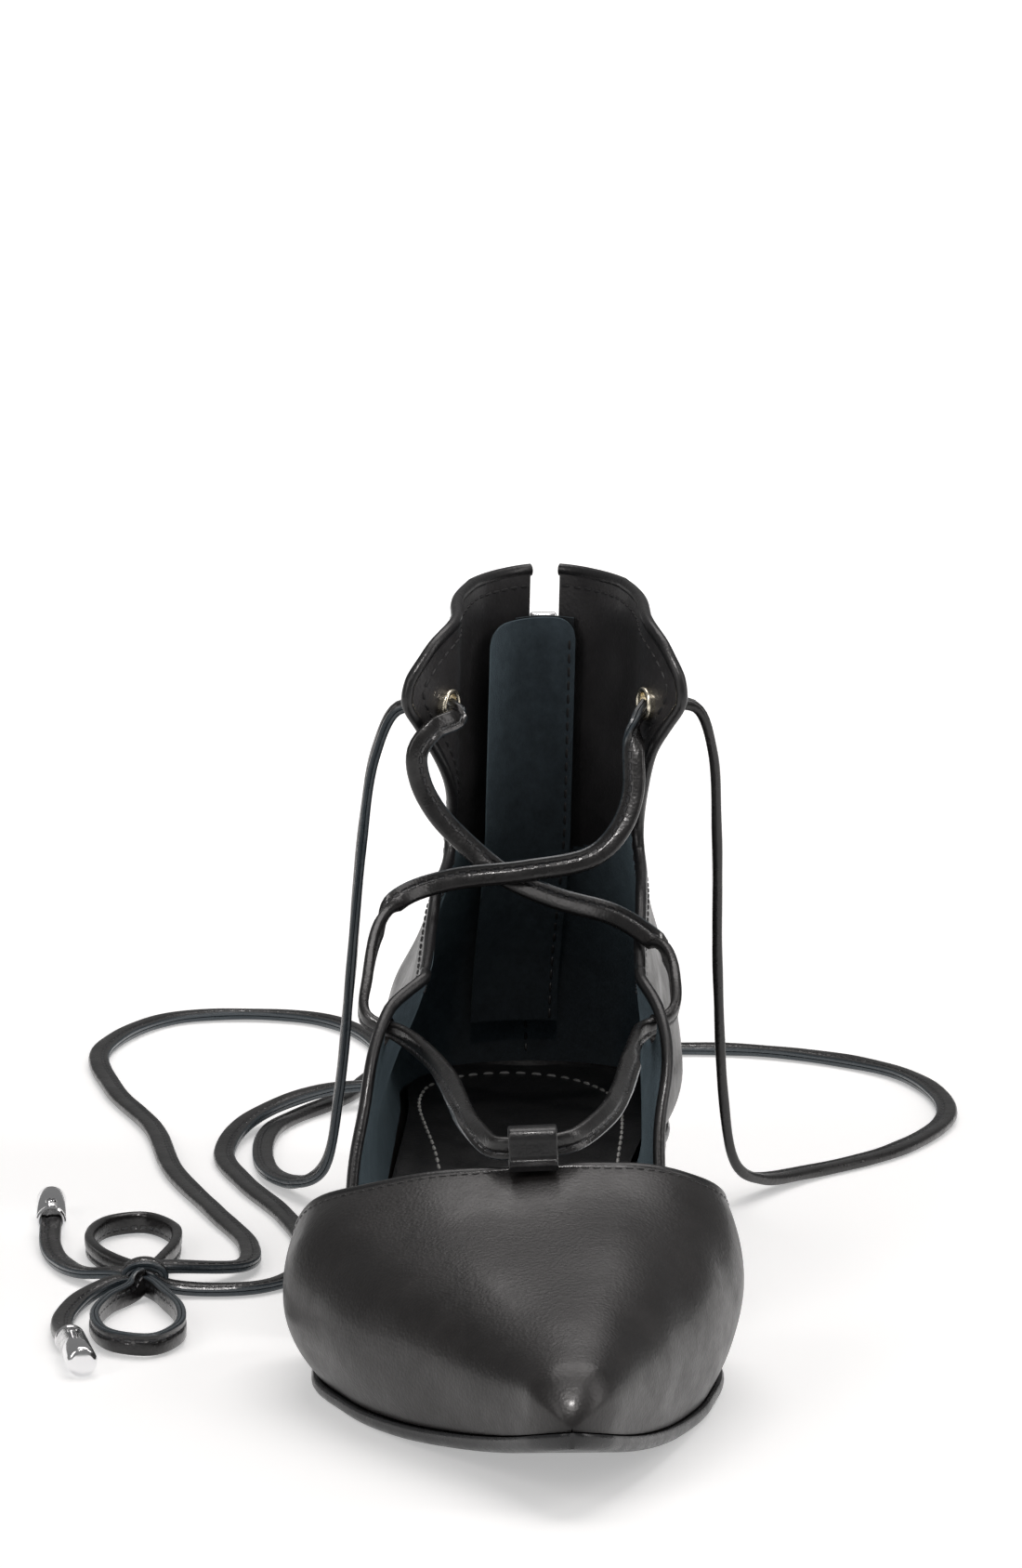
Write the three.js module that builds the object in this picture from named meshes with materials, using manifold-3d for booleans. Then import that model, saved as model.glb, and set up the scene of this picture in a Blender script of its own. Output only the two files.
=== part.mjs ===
import * as THREE from 'three';
import { mergeVertices } from 'three/addons/utils/BufferGeometryUtils.js';
import Module from 'manifold-3d';

// A right-foot lace-up flat: a low closed vamp, a separate tall back piece with two lower and two upper
// ears, and one long flat lace. Millimetres. Points are [x, y, z]: x from the heel-to-toe axis, positive
// towards the inner side of the foot, y back from the toe tip, z up from the floor.

// Sole and heel
const LENGTH = 262;
const SOLE_WIDTH = 76;
const SOLE_THICKNESS = 3;
const SOLE_SET_BACK = 1;
const EDGE_BEVEL = 0.5;
const TOE_RADIUS = 8;
const HEEL_RADIUS = 27;
const ANKLE_RADIUS = 32;
const TOE_SPRING = 12.3;
const SPRING_LENGTH = 70;
const ARCH_START = 115;
const HEEL_BREAST = 208;
const HEEL_HEIGHT = 14;
const HEEL_TAPER = 1.5;
const HEEL_INSET = 0.6;
const LIFT_THICKNESS = 4;
const INSOLE_THICKNESS = 3.5;
const WAIST_STATIONS = [0.324, 0.382];

// Upper
const WALL = 1.8;
const FEATHER_INSET = 1.2;
const OVERHANG = 5.2;
const NOSE_SET_BACK = 1.3;
const NOSE_ROUNDING = 10;
const VAMP_HEIGHT = 40.7;
const LEAST_CROWN = 0.4;
const LATERAL_SHOULDER = 2.5;
const MEDIAL_SHOULDER = 2;
const BACK_HEIGHT = 120.7;
const BULGE_HEIGHT = 28;
const ANKLE_HEIGHT = 75;
const ANKLE_WIDTH = 38.2;
const EAR_FLARE = 7;
const FLARE_START = 0.847;
const FLARE_LENGTH = 17;
const FLARE_HEIGHT = 105;
const BACK_LEAN = 1.3;

// Zip and its guard
const SLOT_WIDTH = 6;
const SLOT_FOOT = 33;
const SLOT_CUT_DEPTH = 35;
const CUT_CLEARANCE = 10;
const CHAIN_WIDTH = 5.2;
const CHAIN_TOP = 104;
const TAPE_WIDTH = 11.4;
const TAPE_THICKNESS = 0.8;
const TAPE_FOOT = 31;
const TAPE_TOP = 112;
const GUARD_THICKNESS = 1.2;
const GUARD_FREE_SIDE = 11;
const GUARD_SEWN_SIDE = 6;
const GUARD_FOOT = 30;
const SLIDER_WIDTH = 5.4;
const SLIDER_LENGTH = 8;
const SLIDER_THICKNESS = 1.6;
const SLIDER_HEIGHT = 108;
const LUG_RADIUS = 1.7;
const LUG_THICKNESS = 0.9;
const PIN_RADIUS = 0.7;
const PIN_CLEARANCE = 0.3;
const PULL_LENGTH = 18;
const PULL_WIDTH = 4.6;
const PULL_THICKNESS = 1.2;
const PULL_EYE_WIDTH = 2.6;
const PULL_EYE_WALL = 0.6;
const PULL_NECK = 2;

// Lace, its holes and the bow
const LACE_WIDTH = 4.8;
const LACE_THICKNESS = 2;
const LACE_HOLE_RADIUS = 2.7;
const HOLE_CUT_LENGTH = 8;
const EAR_HOLE = { y: 0.5916 * LENGTH, z: 52 };
const EYELET_PLACE = { y: 0.8168 * LENGTH, z: 102.5 };
const EYELET_HOLE_RADIUS = 2.25;
const EYELET_BARREL_RADIUS = 2.7;
const EYELET_RADIUS = 3.3;
const EYELET_FLANGE = 0.6;
const EYELET_CLEARANCE = 0.7;
const LOOP_WIDTH = 9;
const LOOP_HEIGHT = 6.8;
const LOOP_THICKNESS = 1.1;
const LOOP_HOLE = 3.4;
const LOOP_FOOT = 2.4;
const LOOP_FOOT_DROP = 0.6;
const LOOP_BEND = 1.2;
const LOOP_PLACE = -2.8;
const KNOT_SIZE = [9, 14, 6.4];
const KNOT_PLACE = [-74, 0.6107 * LENGTH];
const AGLET_RADIUS = 2.9;
const AGLET_LENGTH = 17.5;
const AGLET_EDGE = 0.5;

const GAP = 0.3;
const LINING_CLEARANCE = 0.7;

// Smooth curve through the rows of a table, without overshoot: a monotone cubic of one column over another.
function through(rows, across, column) {
  const xs = rows.map((row) => row[across]);
  const ys = rows.map((row) => row[column]);
  const last = xs.length - 1;
  const slopes = [];
  for (let i = 0; i < last; i += 1) {
    slopes.push((ys[i + 1] - ys[i]) / (xs[i + 1] - xs[i]));
  }
  const tangents = ys.map((value, i) => {
    if (i === 0) return slopes[0];
    if (i === last) return slopes[last - 1];
    if (slopes[i - 1] * slopes[i] <= 0) return 0;
    return 2 / (1 / slopes[i - 1] + 1 / slopes[i]);
  });
  return (x) => {
    if (x <= xs[0]) return ys[0];
    if (x >= xs[last]) return ys[last];
    let i = 0;
    while (x > xs[i + 1]) i += 1;
    const h = xs[i + 1] - xs[i];
    const u = (x - xs[i]) / h;
    const start = (1 + 2 * u) * (1 - u) ** 2 * ys[i] + u * (1 - u) ** 2 * h * tangents[i];
    return start + u * u * (3 - 2 * u) * ys[i + 1] + u * u * (u - 1) * h * tangents[i + 1];
  };
}

function table(columns, rows) {
  return rows.map((row) => Object.fromEntries(columns.map((column, i) => [column, row[i]])));
}

const mix = (a, b, share) => a + (b - a) * share;

function smoothStep(low, high, value) {
  const u = Math.min(1, Math.max(0, (value - low) / (high - low)));
  return u * u * (3 - 2 * u);
}

// Half-width of a round end, as a share, at a distance from that end.
function endCap(distance, radius, power = 0.5) {
  const u = Math.min(1, Math.max(0.0005, distance / radius));
  return (1 - (1 - u) ** 2) ** power;
}

// Plan of the sole and of the upper over it. at: share of LENGTH. lateral, medial: half-widths as shares
// of SOLE_WIDTH. overLateral, overMedial: how far the upper bulges past the sole, as shares of OVERHANG.
const PLAN = table(['at', 'lateral', 'medial', 'overLateral', 'overMedial'], [
  [0.000, 0.048, 0.080, -0.23, -0.23],
  [0.061, 0.138, 0.168, -0.10, -0.10],
  [0.115, 0.234, 0.237, 0.15, 0.08],
  [0.191, 0.388, 0.322, 0.48, 0.29],
  [0.260, 0.499, 0.388, 0.77, 0.54],
  [0.336, 0.572, 0.428, 1.00, 0.71],
  [0.420, 0.552, 0.390, 0.87, 0.60],
  [0.496, 0.455, 0.290, 0.35, 0.35],
  [0.573, 0.425, 0.262, 0.10, 0.40],
  [0.668, 0.385, 0.272, 0.29, 0.45],
  [0.763, 0.345, 0.330, 0.48, 0.48],
  [0.859, 0.324, 0.379, 0.58, 0.48],
  [1.000, 0.324, 0.379, 0.58, 0.48],
]);
const planColumn = Object.fromEntries(
  ['lateral', 'medial', 'overLateral', 'overMedial'].map((name) => [name, through(PLAN, 'at', name)]),
);

// Vamp sections. at: share of LENGTH. ridge: sideways place of the top line, share of SOLE_WIDTH. rise:
// height of that line, and lateralBulge, medialBulge: height of the widest place, shares of VAMP_HEIGHT.
const VAMP = table(['at', 'ridge', 'rise', 'lateralBulge', 'medialBulge'], [
  [0.000, 0.018, 0.170, 0.098, 0.098],
  [0.057, 0.046, 0.371, 0.172, 0.184],
  [0.115, 0.079, 0.558, 0.221, 0.258],
  [0.191, 0.118, 0.754, 0.270, 0.332],
  [0.267, 0.158, 0.897, 0.307, 0.393],
  [0.317, 0.184, 1.000, 0.337, 0.442],
  [0.382, 0.197, 1.098, 0.344, 0.467],
  [0.439, 0.197, 1.172, 0.344, 0.467],
]);
const vampColumn = Object.fromEntries(
  ['ridge', 'rise', 'lateralBulge', 'medialBulge'].map((name) => [name, through(VAMP, 'at', name)]),
);

// The vamp's open edge from the side. rise: height above the sole, share of VAMP_HEIGHT. at: share of LENGTH.
const TOPLINE = table(['rise', 'at'], [
  [0.000, 0.443],
  [0.172, 0.433],
  [0.418, 0.416],
  [0.688, 0.382],
  [0.860, 0.340],
  [0.934, 0.3245],
  [1.012, 0.313],
  [1.180, 0.303],
]);
const toplineAt = through(TOPLINE, 'rise', 'at');

// Profile of the back piece behind the heel. height: share of BACK_HEIGHT. at: share of LENGTH. power: how
// pointed the round of the back is.
const BACK = table(['height', 'at', 'power'], [
  [0.232, 1.0000, 0.50],
  [0.331, 0.9985, 0.50],
  [0.480, 0.9800, 0.55],
  [0.621, 0.9695, 0.60],
  [0.787, 0.9745, 0.60],
  [1.000, 0.9850, 0.60],
]);
const backAt = through(BACK, 'height', 'at');
const backPower = through(BACK, 'height', 'power');

// Plan of the back piece at ankle height. at: share of LENGTH. lateral, medial: shares of ANKLE_WIDTH.
const ANKLE = table(['at', 'lateral', 'medial'], [
  [0.477, 0.800, 0.850],
  [0.534, 0.800, 0.850],
  [0.557, 0.780, 0.800],
  [0.592, 0.700, 0.680],
  [0.630, 0.470, 0.560],
  [0.687, 0.458, 0.563],
  [0.763, 0.469, 0.594],
  [0.847, 0.390, 0.610],
  [1.000, 0.390, 0.610],
]);
const ankleColumn = Object.fromEntries(
  ['lateral', 'medial'].map((name) => [name, through(ANKLE, 'at', name)]),
);

// The back piece's free edge from the side, from the sole up over the lower ear, the waist and the upper
// ear. along: place on the edge. seam: height at the heel that is level with it, and rise: height of the
// edge, both above the sole and as shares of BACK_HEIGHT. at: share of LENGTH.
const EDGE = table(['along', 'seam', 'at', 'rise'], [
  [0, 0.000, 0.4657, 0.000],
  [1, 0.055, 0.4810, 0.088],
  [2, 0.138, 0.5115, 0.224],
  [3, 0.188, 0.5325, 0.292],
  [4, 0.237, 0.5573, 0.348],
  [5, 0.279, 0.5916, 0.387],
  [6, 0.312, 0.6221, 0.403],
  [7, 0.337, 0.6374, 0.401],
  [8, 0.362, 0.6565, 0.385],
  [9, 0.387, 0.7061, 0.389],
  [10, 0.420, 0.7634, 0.422],
  [11, 0.453, 0.8092, 0.435],
  [12, 0.486, 0.8397, 0.457],
  [13, 0.519, 0.8454, 0.495],
  [14, 0.569, 0.8244, 0.569],
  [15, 0.619, 0.8073, 0.627],
  [16, 0.669, 0.7920, 0.681],
  [17, 0.718, 0.7824, 0.727],
  [18, 0.751, 0.7844, 0.756],
  [19, 0.785, 0.7939, 0.789],
  [20, 0.809, 0.8060, 0.813],
  [21, 0.830, 0.8300, 0.832],
  [22, 0.847, 0.8760, 0.8455],
  [23, 0.8567, 0.9250, 0.8545],
]);
const edgeColumn = Object.fromEntries(
  ['seam', 'at', 'rise'].map((name) => [name, through(EDGE, 'along', name)]),
);

function soleBottom(y) {
  const spring = TOE_SPRING * Math.max(0, 1 - y / SPRING_LENGTH) ** 2;
  return spring + HEEL_HEIGHT * smoothStep(ARCH_START, HEEL_BREAST - 1, y);
}

const soleTop = (y) => soleBottom(y) + SOLE_THICKNESS;
const featherHeight = (y) => soleTop(y) + GAP;

// Centre and half-width of the sole's plan, before its ends are rounded off.
function solePlan(y) {
  const lateral = SOLE_WIDTH * planColumn.lateral(y / LENGTH);
  const medial = SOLE_WIDTH * planColumn.medial(y / LENGTH);
  return { centre: (medial - lateral) / 2, half: (medial + lateral) / 2 };
}

// Plan of the upper where it is widest over the sole.
function bulgePlan(y) {
  const lateral = SOLE_WIDTH * planColumn.lateral(y / LENGTH) + OVERHANG * planColumn.overLateral(y / LENGTH);
  const medial = SOLE_WIDTH * planColumn.medial(y / LENGTH) + OVERHANG * planColumn.overMedial(y / LENGTH);
  return { centre: (medial - lateral) / 2, half: (medial + lateral) / 2 };
}

function anklePlan(y) {
  const lateral = ANKLE_WIDTH * ankleColumn.lateral(y / LENGTH);
  const medial = ANKLE_WIDTH * ankleColumn.medial(y / LENGTH);
  return { centre: (medial - lateral) / 2, half: (medial + lateral) / 2 };
}

// Half-width of the sole at y, drawn in by inset all round.
function soleHalf(y, inset) {
  const toe = endCap(y - inset, TOE_RADIUS - inset);
  const heel = endCap(LENGTH - SOLE_SET_BACK - inset - y, HEEL_RADIUS - inset);
  return (solePlan(y).half - inset) * toe * heel;
}

function solidFrom(points, faces) {
  let volume = 0;
  const [a, b, c] = [new THREE.Vector3(), new THREE.Vector3(), new THREE.Vector3()];
  for (const face of faces) {
    a.fromArray(points[face[0]]);
    b.fromArray(points[face[1]]);
    c.fromArray(points[face[2]]);
    volume += a.dot(b.cross(c));
  }
  const outward = volume > 0 ? faces : faces.map(([i, j, k]) => [i, k, j]);
  const geometry = new THREE.BufferGeometry();
  geometry.setAttribute('position', new THREE.Float32BufferAttribute(points.flat(), 3));
  geometry.setIndex(outward.flat());
  return geometry;
}

// A closed sheet between two grids of points, joined round all four sides.
function sheet(rows, columns, outer, inner) {
  const points = [];
  const faces = [];
  for (const side of [outer, inner]) {
    for (let i = 0; i <= rows; i += 1) {
      for (let j = 0; j <= columns; j += 1) points.push(side(i, j));
    }
  }
  const wide = columns + 1;
  const far = (rows + 1) * wide;
  const quad = (a, b, c, d) => faces.push([a, b, c], [a, c, d]);
  for (let i = 0; i < rows; i += 1) {
    for (let j = 0; j < columns; j += 1) {
      const a = i * wide + j;
      quad(a, a + 1, a + wide + 1, a + wide);
      quad(far + a, far + a + wide, far + a + wide + 1, far + a + 1);
    }
  }
  for (let j = 0; j < columns; j += 1) {
    quad(j, far + j, far + j + 1, j + 1);
    const end = rows * wide + j;
    quad(end, end + 1, far + end + 1, far + end);
  }
  for (let i = 0; i < rows; i += 1) {
    const start = i * wide;
    quad(start, start + wide, far + start + wide, far + start);
    const end = start + columns;
    quad(end, far + end, far + end + wide, end + wide);
  }
  return solidFrom(points, faces);
}

const wasm = await Module();
wasm.setup();

function toSolid(geometry) {
  const bare = geometry.clone();
  bare.deleteAttribute('normal');
  bare.deleteAttribute('uv');
  const merged = mergeVertices(bare, 1e-4);
  return new wasm.Manifold(new wasm.Mesh({
    numProp: 3,
    vertProperties: new Float32Array(merged.attributes.position.array),
    triVerts: new Uint32Array(merged.index.array),
  }));
}

function fromSolid(solid) {
  const mesh = solid.getMesh();
  const geometry = new THREE.BufferGeometry();
  geometry.setAttribute('position', new THREE.Float32BufferAttribute(mesh.vertProperties, 3));
  geometry.setIndex(new THREE.Uint32BufferAttribute(mesh.triVerts, 1));
  return geometry;
}

const cut = (geometry, cutters) => fromSolid(
  cutters.reduce((solid, cutter) => solid.subtract(toSolid(cutter)), toSolid(geometry)),
);
const join = (geometries) => fromSolid(geometries.map(toSolid).reduce((all, one) => all.add(one)));

// A flat plate that follows the sole's plan between two stations, from one height to another.
function plate(stations, bottom, top) {
  const shares = [-1, -0.75, -0.4, 0, 0.4, 0.75, 1];
  const point = (i, j, face) => {
    const y = stations[i];
    return [solePlan(y).centre + shares[j] * face.half(y), y, face.height(y)];
  };
  const [rows, columns] = [stations.length - 1, shares.length - 1];
  return sheet(rows, columns, (i, j) => point(i, j, top), (i, j) => point(i, j, bottom));
}

// Stations from one y to another, closer together towards a round end.
function stationsToEnd(from, to, count) {
  return Array.from({ length: count + 1 }, (unused, i) => mix(from, to, Math.sin((i / count) * Math.PI / 2)));
}

function soleStations(inset) {
  const toe = stationsToEnd(SPRING_LENGTH, inset, 9).reverse();
  const middle = WAIST_STATIONS.map((at) => at * LENGTH);
  const shank = stationsToEnd(HEEL_BREAST, ARCH_START, 6).reverse().slice(0, -1);
  const heel = stationsToEnd(HEEL_BREAST, LENGTH - SOLE_SET_BACK - inset, 8);
  return [...toe, ...middle, ...shank, ...heel];
}

function outsole() {
  return plate(
    soleStations(0),
    { half: (y) => Math.max(0.5, soleHalf(y, 0) - EDGE_BEVEL), height: soleBottom },
    { half: (y) => soleHalf(y, 0), height: soleTop },
  );
}

function heelBlock() {
  const stations = stationsToEnd(HEEL_BREAST, LENGTH - SOLE_SET_BACK - HEEL_INSET - HEEL_TAPER, 8);
  return plate(
    stations,
    { half: (y) => soleHalf(y, HEEL_INSET + HEEL_TAPER), height: () => LIFT_THICKNESS + GAP },
    { half: (y) => soleHalf(y, HEEL_INSET), height: () => HEEL_HEIGHT - GAP },
  );
}

function heelLift() {
  const stations = stationsToEnd(HEEL_BREAST, LENGTH - SOLE_SET_BACK - HEEL_INSET - HEEL_TAPER, 8);
  const half = (y) => soleHalf(y, HEEL_INSET + HEEL_TAPER);
  return plate(stations, { half, height: () => 0 }, { half, height: () => LIFT_THICKNESS });
}

function insole() {
  const inset = FEATHER_INSET + WALL + 3 * GAP;
  const end = LENGTH - SOLE_SET_BACK - inset;
  const toe = stationsToEnd(SPRING_LENGTH, NOSE_SET_BACK + inset, 8).reverse();
  const shank = stationsToEnd(HEEL_BREAST, SPRING_LENGTH, 9).reverse().slice(1, -1);
  const stations = [...toe, ...shank, ...stationsToEnd(HEEL_BREAST, end, 8)];
  const half = (y) => soleHalf(y, inset);
  return plate(
    stations,
    { half, height: featherHeight },
    { half, height: (y) => featherHeight(y) + INSOLE_THICKNESS },
  );
}

// Outward swell of the upper's wall between the sole and its widest place.
const swell = (share) => 1 - (1 - Math.min(1, Math.max(0, share))) ** 2;

// Share of each side of a vamp section that lies below its widest place.
const FLANK_SHARE = 0.3;

// Point of the vamp. across: -1 at the outer side's sole edge, 0 on the ridge, 1 at the inner side's.
// depth: how far inside the outer surface.
function vampPoint(across, y, depth) {
  const at = y / LENGTH;
  const lateralSide = across < 0;
  const start = NOSE_SET_BACK + depth;
  const round = endCap(y - start, TOE_RADIUS - depth);
  const foot = { half: solePlan(y).half - FEATHER_INSET - depth, centre: solePlan(y).centre };
  const wide = { half: bulgePlan(y).half - depth, centre: bulgePlan(y).centre };
  const sign = lateralSide ? -1 : 1;
  const floor = featherHeight(y);
  const lift = endCap(y - start, NOSE_ROUNDING);
  const bulge = VAMP_HEIGHT * vampColumn[lateralSide ? 'lateralBulge' : 'medialBulge'](at) * lift;
  const crown = VAMP_HEIGHT * vampColumn.rise(at) * lift - depth;
  const up = 1 - Math.abs(across);
  const footX = foot.centre + sign * foot.half * round;
  const wideX = wide.centre + sign * wide.half * round;
  if (up < FLANK_SHARE) {
    const share = up / FLANK_SHARE;
    return [mix(footX, wideX, swell(share)), y, floor + bulge * share];
  }
  const angle = ((up - FLANK_SHARE) / (1 - FLANK_SHARE)) * (Math.PI / 2);
  const power = 2 / (lateralSide ? LATERAL_SHOULDER : MEDIAL_SHOULDER);
  const ridge = mix(wide.centre, SOLE_WIDTH * vampColumn.ridge(at), round);
  const inward = 1 - Math.cos(angle) ** power;
  const upward = Math.sin(angle) ** power;
  return [mix(wideX, ridge, inward), y, floor + mix(bulge, Math.max(bulge + LEAST_CROWN, crown), upward)];
}

// Station of the vamp's open edge on one line of the vamp, found by repeated approach.
function toplineStation(across) {
  let y = LENGTH * toplineAt(0.9);
  for (let i = 0; i < 40; i += 1) {
    const rise = (vampPoint(across, y, 0)[2] - featherHeight(y)) / VAMP_HEIGHT;
    y = mix(y, LENGTH * toplineAt(rise), 0.5);
  }
  return y;
}

function vamp() {
  const rows = 16;
  const columns = 24;
  const across = (j) => -1 + (2 * j) / columns;
  const ends = Array.from({ length: columns + 1 }, (unused, j) => toplineStation(across(j)));
  const point = (i, j, depth) => {
    const start = NOSE_SET_BACK + depth;
    return vampPoint(across(j), mix(start, ends[j], (i / rows) ** 1.5), depth);
  };
  return sheet(rows, columns, (i, j) => point(i, j, 0), (i, j) => point(i, j, WALL));
}

// Rearmost y of the back piece at a height.
function backStation(z) {
  const feather = featherHeight(LENGTH);
  const foot = LENGTH - SOLE_SET_BACK - FEATHER_INSET;
  if (z >= BULGE_HEIGHT) return LENGTH * backAt(z / BACK_HEIGHT);
  return mix(foot, LENGTH, swell((z - feather) / (BULGE_HEIGHT - feather)));
}

// Centre and half-width of the back piece's plan at a height, before the round of the back is applied.
function quarterPlan(y, z) {
  const low = bulgePlan(y);
  const high = anklePlan(y);
  const narrowing = smoothStep(BULGE_HEIGHT, ANKLE_HEIGHT, z);
  const forward = Math.max(0, LENGTH * FLARE_START - y) / FLARE_LENGTH;
  const flare = EAR_FLARE * forward ** 2 * smoothStep(ANKLE_HEIGHT, FLARE_HEIGHT, z);
  const lean = BACK_LEAN * Math.max(0, (z - ANKLE_HEIGHT) / (BACK_HEIGHT - ANKLE_HEIGHT));
  let centre = mix(low.centre, high.centre, narrowing) + lean;
  let half = mix(low.half, high.half, narrowing) + flare;
  if (z < BULGE_HEIGHT) {
    const feather = featherHeight(y);
    const out = swell((z - feather) / (BULGE_HEIGHT - feather));
    const foot = solePlan(y);
    centre = mix(foot.centre, centre, out);
    half = mix(foot.half - FEATHER_INSET, half, out);
  }
  return { centre, half };
}

const backRound = (z) => mix(HEEL_RADIUS, ANKLE_RADIUS, smoothStep(BULGE_HEIGHT, ANKLE_HEIGHT, z));

// Point of the back piece. side: -1 outer, 1 inner side of the foot.
function quarterPoint(side, y, z, depth) {
  const plan = quarterPlan(y, z);
  const round = endCap(backStation(z) - depth - y, backRound(z) - depth, backPower(z / BACK_HEIGHT));
  return [plan.centre + side * (plan.half - depth) * round, y, z];
}

// Point of the back piece near its back seam, given how far it lies to one side of that seam.
function seamPoint(aside, z, depth) {
  const back = backStation(z) - depth;
  let y = back;
  for (let i = 0; i < 6; i += 1) {
    const plan = quarterPlan(y, z);
    const share = Math.min(0.999, Math.abs(aside) / (plan.half - depth)) ** (1 / backPower(z / BACK_HEIGHT));
    y = back - (backRound(z) - depth) * (1 - Math.sqrt(1 - share));
  }
  return [quarterPlan(back, z).centre + aside, y, z];
}

function quarterShell() {
  const perSide = 12;
  const columns = 2 * perSide;
  const rows = EDGE.length - 1;
  const point = (along, j, depth) => {
    const side = j < perSide ? -1 : 1;
    const share = Math.abs(j - perSide) / perSide;
    const edgeY = LENGTH * edgeColumn.at(along);
    const reach = (LENGTH - edgeY) / (LENGTH / 2);
    const forward = share ** mix(1.5, 2.4, reach);
    const rise = BACK_HEIGHT * mix(edgeColumn.seam(along), edgeColumn.rise(along), forward);
    const heelZ = featherHeight(LENGTH) + BACK_HEIGHT * edgeColumn.seam(along);
    const y = mix(backStation(heelZ) - depth, edgeY, forward);
    return quarterPoint(side, y, featherHeight(y) + rise, depth);
  };
  return sheet(rows, columns, (i, j) => point(i, j, 0), (i, j) => point(i, j, WALL));
}

// The middle of the wall at a place on the back piece, and the way that it faces.
function wallFrame(side, place) {
  const centre = new THREE.Vector3(...quarterPoint(side, place.y, place.z, WALL / 2));
  const ahead = new THREE.Vector3(...quarterPoint(side, place.y - 1, place.z, WALL / 2)).sub(centre);
  const above = new THREE.Vector3(...quarterPoint(side, place.y, place.z + 1, WALL / 2)).sub(centre);
  const outward = new THREE.Vector3().crossVectors(ahead, above).normalize();
  if (outward.x * side < 0) outward.negate();
  return { centre, outward };
}

function placed(geometry, { centre, outward }) {
  const turn = new THREE.Quaternion().setFromUnitVectors(new THREE.Vector3(0, 1, 0), outward);
  return geometry.applyQuaternion(turn).translate(centre.x, centre.y, centre.z);
}

// A round cutter through the wall, square to it.
const holeCutter = (side, place, radius) => placed(
  new THREE.CylinderGeometry(radius, radius, HOLE_CUT_LENGTH, 16),
  wallFrame(side, place),
);

// The slot for the zip follows the back seam as it leans.
function slotCutter() {
  const tall = BACK_HEIGHT + CUT_CLEARANCE;
  const seamX = (z) => quarterPlan(backStation(z), z).centre;
  const heights = [SLOT_FOOT, ANKLE_HEIGHT, BACK_HEIGHT, tall];
  const outline = [
    ...heights.map((z) => new THREE.Vector2(seamX(z) - SLOT_WIDTH / 2, z)),
    ...heights.reverse().map((z) => new THREE.Vector2(seamX(z) + SLOT_WIDTH / 2, z)),
  ];
  const cutter = new THREE.ExtrudeGeometry(new THREE.Shape(outline), {
    depth: SLOT_CUT_DEPTH,
    bevelEnabled: false,
  });
  return cutter.rotateX(Math.PI / 2).translate(0, LENGTH + CUT_CLEARANCE, 0);
}

function quarter() {
  const cutters = [slotCutter()];
  for (const side of [-1, 1]) {
    cutters.push(holeCutter(side, EAR_HOLE, LACE_HOLE_RADIUS));
    cutters.push(holeCutter(side, EYELET_PLACE, EYELET_BARREL_RADIUS + GAP / 2));
  }
  return cut(quarterShell(), cutters);
}

function eyelet(side) {
  const reach = WALL / 2 + EYELET_CLEARANCE;
  const profile = [
    [EYELET_HOLE_RADIUS, -reach - EYELET_FLANGE],
    [EYELET_RADIUS, -reach - EYELET_FLANGE],
    [EYELET_RADIUS, -reach],
    [EYELET_BARREL_RADIUS - GAP / 2, -reach],
    [EYELET_BARREL_RADIUS - GAP / 2, reach],
    [EYELET_RADIUS, reach],
    [EYELET_RADIUS, reach + EYELET_FLANGE],
    [EYELET_HOLE_RADIUS, reach + EYELET_FLANGE],
    [EYELET_HOLE_RADIUS, -reach - EYELET_FLANGE],
  ].map(([radius, height]) => new THREE.Vector2(radius, height));
  return placed(new THREE.LatheGeometry(profile, 16), wallFrame(side, EYELET_PLACE));
}

// A strip that follows the inside of the back seam between two depths.
function seamStrip(from, to, foot, top, near, far, columns) {
  const rows = 12;
  const point = (i, j, depth) => seamPoint(mix(from, to, j / columns), mix(foot, top, i / rows), depth);
  return sheet(rows, columns, (i, j) => point(i, j, near), (i, j) => point(i, j, far));
}

function zip() {
  const tape = WALL + LINING_CLEARANCE;
  const back = tape + TAPE_THICKNESS;
  const chainBack = tape + TAPE_THICKNESS / 2;
  return join([
    seamStrip(-TAPE_WIDTH / 2, TAPE_WIDTH / 2, TAPE_FOOT, TAPE_TOP, tape, back, 8),
    seamStrip(-CHAIN_WIDTH / 2, CHAIN_WIDTH / 2, SLOT_FOOT + GAP, CHAIN_TOP, GAP, chainBack, 2),
  ]);
}

function zipGuard() {
  const near = WALL + LINING_CLEARANCE + TAPE_THICKNESS + 2 * GAP;
  return seamStrip(-GUARD_FREE_SIDE, GUARD_SEWN_SIDE, GUARD_FOOT, TAPE_TOP, near, near + GUARD_THICKNESS, 8);
}

// The slider lies on the chain at the back, with two lugs and a pin that carry the pull.
const sliderSeat = seamPoint(0, SLIDER_HEIGHT, 0);
const PIN_PLACE = { y: sliderSeat[1] + SLIDER_THICKNESS + LUG_RADIUS, z: SLIDER_HEIGHT };

function boxAt(size, centre) {
  return new THREE.BoxGeometry(...size).translate(...centre);
}

function roundAcross(radius, width, sides) {
  return new THREE.CylinderGeometry(radius, radius, width, sides)
    .rotateZ(Math.PI / 2)
    .translate(sliderSeat[0], PIN_PLACE.y, PIN_PLACE.z);
}

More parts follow.
